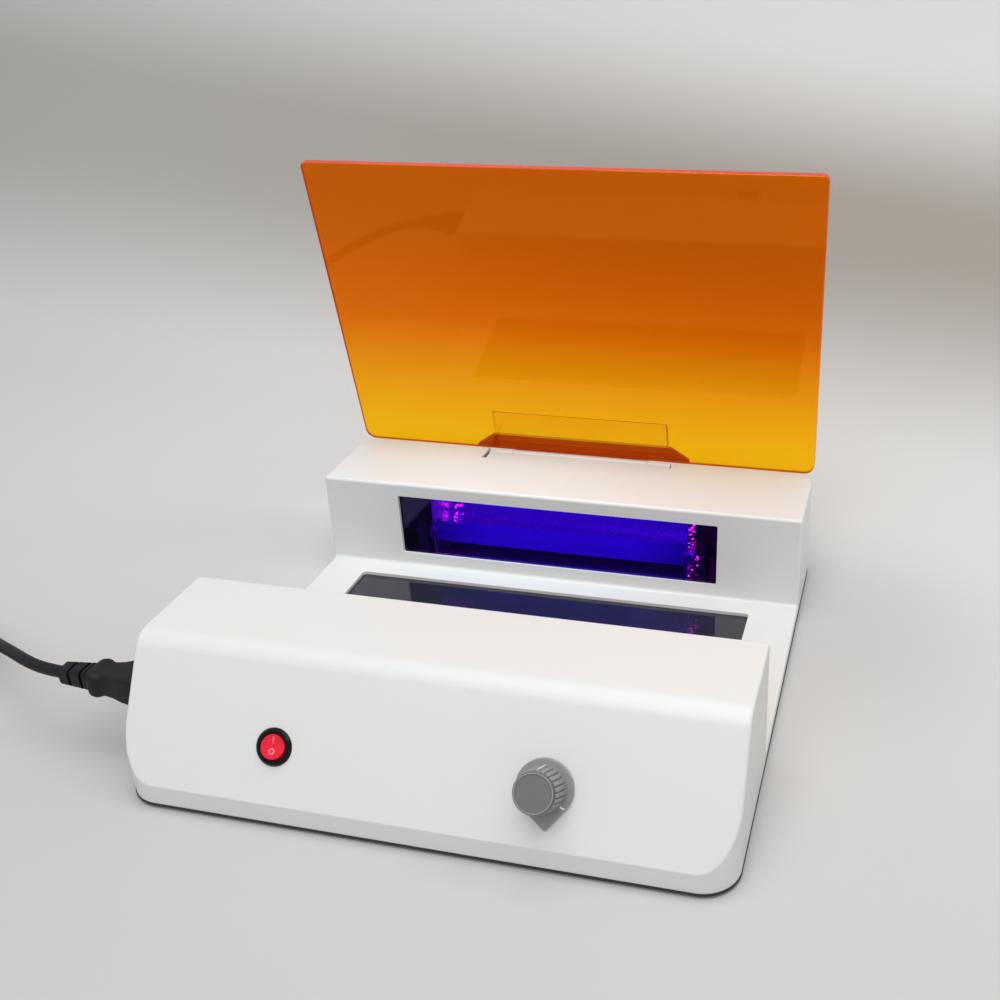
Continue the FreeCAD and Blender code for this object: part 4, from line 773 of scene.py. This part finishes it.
class TRANSILLUMINATOR_OT_cover(BuildStep, Operator):
    """Dress the orange cover with its red cut edges, its stiffener and its hinge"""
    bl_idname = "transilluminator.cover"
    bl_label = "Cover and hinge"

    def build(self, values):
        plate = dress("cover_plate")
        lean = max(plate.data.polygons, key=lambda face: face.area).normal.copy()
        face_apart(plate, lean, 0.5, "edge_red")
        face_apart(dress("cover_stiffener"), lean, 0.5, "strip_edge")
        for node in ("hinge_leaf", "hinge_arm", "hinge_bracket_left", "hinge_bracket_right", "hinge_pin",
                     "hinge_screws"):
            dress(node)
        paint("hinge_nuts")


def barrel_tree():
    """Geometry Nodes for the knob's barrel: a tapered wall whose radius dips by a rule at each flute."""
    nodes, given = growth_tree("fluted_barrel", (
        ("Flutes", 24), ("Flute Depth", 0.0009), ("Foot Radius", 0.0131), ("Top Radius", 0.0123), ("Low", 0.00325),
        ("High", 0.0216), ("Bore", 0.0109)))
    around = nodes.math("ADD", nodes.math("MULTIPLY", given["Flutes"], 12.0), 1.0)
    grid = nodes.add("GeometryNodeMeshGrid", {"Size X": 1.0, "Size Y": 1.0, "Vertices X": around, "Vertices Y": 27})
    spot = nodes.add("GeometryNodeInputPosition")
    split = nodes.add("ShaderNodeSeparateXYZ", {0: spot}, out=None).outputs
    angle = nodes.math("MULTIPLY", nodes.math("ADD", split[0], 0.5), 2.0 * math.pi)
    share = nodes.math("ADD", split[1], 0.5)
    wall_share = nodes.span(share, 0.0, 0.8)
    taper = nodes.span(wall_share, 0.0, 1.0, given["Foot Radius"], given["Top Radius"])
    wave = nodes.math("COSINE", nodes.math("MULTIPLY", angle, given["Flutes"]))
    groove = nodes.math("POWER", nodes.math("MAXIMUM", wave, 0.0), 2.4)
    fade = nodes.math("MULTIPLY", nodes.span(wall_share, 0.03, 0.14), nodes.span(share, 0.91, 0.86))
    depth = nodes.math("MULTIPLY", nodes.math("MULTIPLY", groove, fade), given["Flute Depth"])
    outer = nodes.math("SUBTRACT", taper, depth)
    rim = nodes.span(share, 0.80, 0.86)
    rounded = nodes.math("SUBTRACT", outer, nodes.math("MULTIPLY", nodes.math("POWER", rim, 2.0), 0.0005))
    bore = nodes.span(share, 0.86, 0.92)
    radius = nodes.math("ADD", nodes.math("MULTIPLY", rounded, nodes.math("SUBTRACT", 1.0, bore)),
                        nodes.math("MULTIPLY", given["Bore"], bore))
    lift = nodes.span(wall_share, 0.0, 1.0, given["Low"], given["High"])
    settle = nodes.math("SUBTRACT", nodes.math("ADD", lift, nodes.math("MULTIPLY", rim, 0.0004)),
                        nodes.math("ADD", 0.0004, nodes.span(share, 0.92, 1.0, 0.0, 0.0009)))
    place = nodes.add("ShaderNodeCombineXYZ", {0: nodes.math("MULTIPLY", radius, nodes.math("COSINE", angle)),
                                               1: nodes.math("MULTIPLY", radius, nodes.math("SINE", angle)),
                                               2: settle})
    shaped = nodes.add("GeometryNodeSetPosition", {"Geometry": grid, "Position": place})
    closed = nodes.add("GeometryNodeMergeByDistance", {"Geometry": shaped, "Distance": 0.000005})
    return end_growth(nodes, closed, given["Finish"])


def panel_matrix(foot, turn):
    """From a control's own axes, with its axis up, to its place on the sloped panel."""
    axes = Matrix((Vector((1.0, 0.0, 0.0)), PANEL_UP, PANEL_OUT)).transposed().to_4x4()
    return Matrix.Translation(foot) @ axes @ Matrix.Rotation(turn, 4, "Z")


class TRANSILLUMINATOR_OT_knob(BuildStep, Operator):
    """Build the fluted knob on its pointed skirt, with its cap and index line"""
    bl_idname = "transilluminator.knob"
    bl_label = "Knob"

    def build(self, values):
        values = values.knob
        mesh = grown("fluted_barrel", barrel_tree(), [(0.0, 0.0, 0.0)], Flutes=values.flutes,
                     Flute_Depth=values.flute_depth, Foot_Radius=values.foot_radius, Top_Radius=values.top_radius,
                     Low=values.low, High=values.high, Finish=finish_named("knob_grey"))
        mesh.transform(panel_matrix(KNOB_FOOT, math.pi / 2 + math.pi / values.flutes))
        mesh.shade_smooth()
        placed("fluted_barrel", mesh, "knob", "knob_grey", "knob_barrel")
        for node in ("knob_skirt", "knob_index"):
            dress(node)
        # The cap's side faces get a near-black finish: painted shade of the narrow gap round the cap.
        face_apart(dress("knob_cap"), PANEL_OUT, 0.3, "cap_side_black")
        for node in ("pot_shaft", "pot_nut", "pot_body"):
            paint(node)
        lay_strip("skirt_mark", "knob_skirt", KNOB_FOOT, SKIRT_MARK, values.mark_half, "mark_white", "index_white")
        # Painted highlight: a thin bright metal ring laid round the cap's edge, where its rim catches the light.
        lay_strip("cap_rim", "knob_cap", KNOB_FOOT, circle(values.rim_radius, 72), values.rim_half, "cap_rim",
                  "knob_cap_grey", closed=True, lift=0.00006)


def circle(radius, count, place=0.0):
    """Points round a control's foot, or round a place up the panel from it."""
    turns = [2 * math.pi * k / count for k in range(count)]
    return [(radius * math.cos(turn), place + radius * math.sin(turn)) for turn in turns]


def lay_strip(name, node, foot, path, half_width, finish, slot, closed=False, lift=0.00012):
    """Lay a thin raised line on a node: a path on the panel, cast down onto the node's face."""
    surface = surface_of(node)
    count = len(path)
    spots = []
    for index, (across, up) in enumerate(path):
        ahead = path[(index + 1) % count] if closed or index + 1 < count else path[index]
        behind = path[index - 1] if closed or index else path[index]
        run = Vector((ahead[0] - behind[0], ahead[1] - behind[1])).normalized()
        for side in (-1, 1):
            top = on_panel(foot, across - side * half_width * run.y, up + side * half_width * run.x, 0.03)
            hit = surface.ray_cast(top, -PANEL_OUT)[0]
            if hit is None:
                raise RuntimeError(name + " misses " + node)
            spots.append(hit + PANEL_OUT * lift)
            spots.append(hit - PANEL_OUT * lift)
    faces = []
    for index in range(count if closed else count - 1):
        near, far = 4 * index, 4 * ((index + 1) % count)
        for low, high in ((0, 2), (2, 3), (3, 1), (1, 0)):
            faces.append((near + low, near + high, far + high, far + low))
    if not closed:
        faces.append((0, 1, 3, 2))
        last = 4 * (count - 1)
        faces.append((last, last + 2, last + 3, last + 1))
    form = bmesh.new()
    corners = [form.verts.new(spot) for spot in spots]
    for face in faces:
        form.faces.new([corners[index] for index in face])
    bmesh.ops.recalc_face_normals(form, faces=form.faces)
    mesh = bpy.data.meshes.new(name)
    form.to_mesh(mesh)
    form.free()
    mesh.materials.append(finish_named(finish))
    placed(name, mesh, BODY_OF[node], slot)


class TRANSILLUMINATOR_OT_switch(BuildStep, Operator):
    """Dress the round rocker switch and lay its two marks on the lit rocker"""
    bl_idname = "transilluminator.switch"
    bl_label = "Switch"

    def build(self, values):
        values = values.switch
        dress("switch_body")
        dress("switch_rocker")
        paint("switch_terminals")
        start = values.bar_place - values.bar_length / 2
        bar = [(0.0, start + values.bar_length * k / 6) for k in range(7)]
        lay_strip("mark_on", "switch_rocker", SWITCH_FOOT, bar, values.bar_half, "glowing_mark", "red_rocker")
        ring = circle(values.ring_radius, 36, values.ring_place)
        lay_strip("mark_off", "switch_rocker", SWITCH_FOOT, ring, values.ring_half, "glowing_mark", "red_rocker",
                  closed=True)


def coil_points(values):
    """The tied coil's turns: an upper layer wound inward, and a lower one wound out again."""
    inner, middle, outer = values.inner, values.middle, values.outer
    low, high = values.low, values.high
    keys = [(42, outer, high), (312, outer, high), (402, middle, high), (672, middle, high), (762, inner, high),
            (942, inner, high), (1032, inner, low), (1212, inner, low), (1302, middle, low), (1572, middle, low),
            (1662, outer, low), (1980, outer, low)]
    step = 360.0 / values.steps
    bulge = 1.0 / math.cos(math.radians(step / 2))
    points = []
    turn = keys[0][0]
    while turn <= keys[-1][0]:
        index = max(k for k in range(len(keys) - 1) if keys[k][0] <= turn)
        start, end = keys[index], keys[index + 1]
        share = (turn - start[0]) / (end[0] - start[0])
        share = share * share * (3 - 2 * share)
        radius = (start[1] + (end[1] - start[1]) * share) * bulge
        height = start[2] + (end[2] - start[2]) * share
        angle = math.radians(turn)
        points.append((values.coil_x + radius * math.cos(angle), values.coil_y + radius * math.sin(angle), height))
        turn += step
    return points


class TRANSILLUMINATOR_OT_lead(BuildStep, Operator):
    """Lay the mains lead from its connector to its tied coil and plug"""
    bl_idname = "transilluminator.lead"
    bl_label = "Mains lead"

    def build(self, values):
        values = values.cord
        for node in ("inlet_socket", "connector", "connector_relief", "mains_plug"):
            dress(node)
        ends = [dress(node) for node in ("plug_relief", "cord_tie", "plug_blades")]
        paint("inlet_pins")
        points = [tuple(MM * part for part in point) for point in CORD_ROUTE]
        points += coil_points(values)
        points += [tuple(MM * part for part in point) for point in CORD_TAIL]
        curve = bpy.data.curves.new("mains_lead", "CURVE")
        curve.dimensions = "3D"
        curve.bevel_depth = values.radius
        curve.bevel_resolution = 5
        curve.resolution_u = 6
        curve.use_fill_caps = True
        spline = curve.splines.new("NURBS")
        spline.points.add(len(points) - 1)
        for knot, point in zip(spline.points, points):
            knot.co = (*point, 1.0)
        spline.order_u = 3
        spline.use_endpoint_u = True
        curve.materials.append(finish_named("cord_black"))
        lead = placed("mains_lead", curve, "housing", "cord_black", "mains_cord", "mains_cord_coil", "mains_cord_tail")


class TRANSILLUMINATOR_OT_electronics(BuildStep, Operator):
    """Finish the lamp driver and the wiring inside the control box"""
    bl_idname = "transilluminator.electronics"
    bl_label = "Electronics"

    def build(self, values):
        for node in SLOT_OF:
            if node.startswith(("board_", "driver_", "terminal_")) or node.endswith("_wires"):
                paint(node)


def make_floor(values):
    """A pale paper floor that sweeps up into a backdrop, with painted light and shade on it: a painted darker band and
    a painted soft shadow of the instrument.
    """
    tint = values.paper
    nodes, shader = new_material("pale_paper")
    grain = effect(nodes, "moulded_grain", Scale=500.0, Cloud_Scale=1.2)
    place = nodes.add("ShaderNodeTexCoord", out="Object")
    spot = nodes.add("ShaderNodeSeparateXYZ", {0: place}, out=None).outputs
    # Painted light: the floor's tint is painted lighter toward the back, most of all on the left.
    across = nodes.ease(spot["X"], -0.65, 0.35)
    near = nodes.blend(across, shaded(tint, 0.93), shaded(tint, 0.94))
    far = nodes.blend(across, shaded(tint, 1.20), shaded(tint, 1.13))
    lit = nodes.blend(nodes.ease(spot["Y"], -0.35, 0.45), near, far)
    lit = nodes.blend(nodes.math("MULTIPLY", grain["Shade"], 0.04), lit, BLACK)
    # Painted shadow: a soft dark pool round a point beside the instrument.
    away = nodes.add("ShaderNodeVectorMath", {0: place, 1: PAINTED_BODY_SHADOW["middle"]}, out="Value", operation="DISTANCE")
    beyond = nodes.ease(away, PAINTED_BODY_SHADOW["inner"], PAINTED_BODY_SHADOW["outer"])
    painted_shadow = nodes.math("MULTIPLY", nodes.math("SUBTRACT", 1.0, beyond), PAINTED_BODY_SHADOW["amount"])
    lit = nodes.blend(painted_shadow, lit, BLACK)
    # Painted shade: a darker band is painted where the floor sweeps up into the backdrop.
    travel = nodes.math("ADD", spot["Y"], spot["Z"])
    fall = nodes.ease(nodes.math("MULTIPLY_ADD", spot["X"], 0.15, travel), 0.41, 0.92)
    rise = nodes.ease(nodes.math("MULTIPLY_ADD", spot["X"], 0.20, travel), 0.98, 1.29)
    dusk = nodes.blend(nodes.ease(spot["X"], -1.1, 0.1), values.dusk_left, values.dusk_right)
    shade = nodes.math("MULTIPLY", fall, nodes.math("SUBTRACT", 1.0, rise))
    fill(nodes, shader, Base_Color=nodes.blend(shade, lit, dusk), Roughness=0.55, Specular_IOR_Level=0.3)
    start, bend, steps = SWEEP["start"], SWEEP["radius"], SWEEP["steps"]
    profile = [(SWEEP["front"], 0.0), (start, 0.0)]
    for k in range(1, steps + 1):
        angle = SWEEP["angle"] * k / steps
        profile.append((start + bend * math.sin(angle), bend * (1 - math.cos(angle))))
    last = profile[-1]
    profile.append((last[0] + SWEEP["back"], last[1] + SWEEP["rise"]))
    points = [(side * SWEEP["half_width"], along, up) for along, up in profile for side in (-1, 1)]
    faces = [(2 * k, 2 * k + 1, 2 * k + 3, 2 * k + 2) for k in range(len(profile) - 1)]
    mesh = mesh_of("paper_floor", points, faces, "pale_paper", smooth=False)
    mesh.shade_smooth()
    floor = linked("paper_floor", mesh)


def add_light(name, kind, place, aim, tint, power, settings):
    """A light turned toward a point."""
    light = bpy.data.lights.new(name, kind)
    light.energy = power
    light.color = tint
    for key, value in settings.items():
        setattr(light, key, value)
    lamp = linked(name, light)
    lamp.location = place
    lamp.rotation_euler = (Vector(aim) - Vector(place)).to_track_quat("-Z", "Y").to_euler()


class TRANSILLUMINATOR_OT_stage(BuildStep, Operator):
    """Lay the floor and set the soft lights and the camera"""
    bl_idname = "transilluminator.stage"
    bl_label = "Stage"

    def build(self, values):
        values = values.stage
        make_floor(values)
        for name, kind, place, aim, tint, settings in LIGHTS:
            add_light(name + "_light", kind, place, aim, tint, getattr(values, name + "_power"), settings)
        world = bpy.data.worlds.new("room")
        world.use_nodes = True
        sky = world.node_tree.nodes["Background"].inputs
        sky["Color"].default_value = ROOM_TINT
        sky["Strength"].default_value = values.sky
        scene = bpy.context.scene
        scene.world = world
        scene.view_settings.view_transform = "Standard"
        camera = bpy.data.cameras.new("eye")
        camera.sensor_width = values.frame_width
        camera.sensor_fit = "HORIZONTAL"
        camera.lens = values.lens
        camera.shift_x = values.shift_x
        camera.shift_y = values.shift_y
        camera.clip_start = 0.02
        eye = linked("eye", camera)
        turned = (Matrix.Rotation(values.yaw, 4, "Z") @ Matrix.Rotation(math.pi / 2 - values.pitch, 4, "X")
                  @ Matrix.Rotation(values.roll, 4, "Z"))
        eye.matrix_world = Matrix.Translation(values.eye) @ turned
        scene.camera = eye


STEPS = ("finishes", "stage", "lead", "housing", "windows", "cover", "switch", "knob", "electronics")


class TRANSILLUMINATOR_PT_build(Panel):
    """Lists the pieces in the order in which they are made"""
    bl_idname = "TRANSILLUMINATOR_PT_build"
    bl_label = "Transilluminator"
    bl_space_type = "VIEW_3D"
    bl_region_type = "UI"
    bl_category = "Transilluminator"

    def draw(self, context):
        for step in STEPS:
            self.layout.operator("transilluminator." + step)
        for name in TransilluminatorValues.__annotations__:
            group = getattr(context.scene.transilluminator, name)
            column = self.layout.column(heading=name.capitalize())
            for key in group.__annotations__:
                column.prop(group, key)


CLASSES = (
    ShellValues, WindowValues, CoverValues, KnobValues, SwitchValues, CordValues, StageValues,
    TransilluminatorValues, TRANSILLUMINATOR_OT_finishes, TRANSILLUMINATOR_OT_stage, TRANSILLUMINATOR_OT_lead,
    TRANSILLUMINATOR_OT_housing, TRANSILLUMINATOR_OT_windows, TRANSILLUMINATOR_OT_cover,
    TRANSILLUMINATOR_OT_switch, TRANSILLUMINATOR_OT_knob, TRANSILLUMINATOR_OT_electronics,
    TRANSILLUMINATOR_PT_build,
)


def register():
    for each in CLASSES:
        bpy.utils.register_class(each)
    bpy.types.Scene.transilluminator = PointerProperty(type=TransilluminatorValues)


def unregister():
    del bpy.types.Scene.transilluminator
    for each in reversed(CLASSES):
        bpy.utils.unregister_class(each)


def main():
    """Build the whole scene."""
    register()
    for step in STEPS:
        getattr(bpy.ops.transilluminator, step)()


if __name__ == "__main__":
    main()
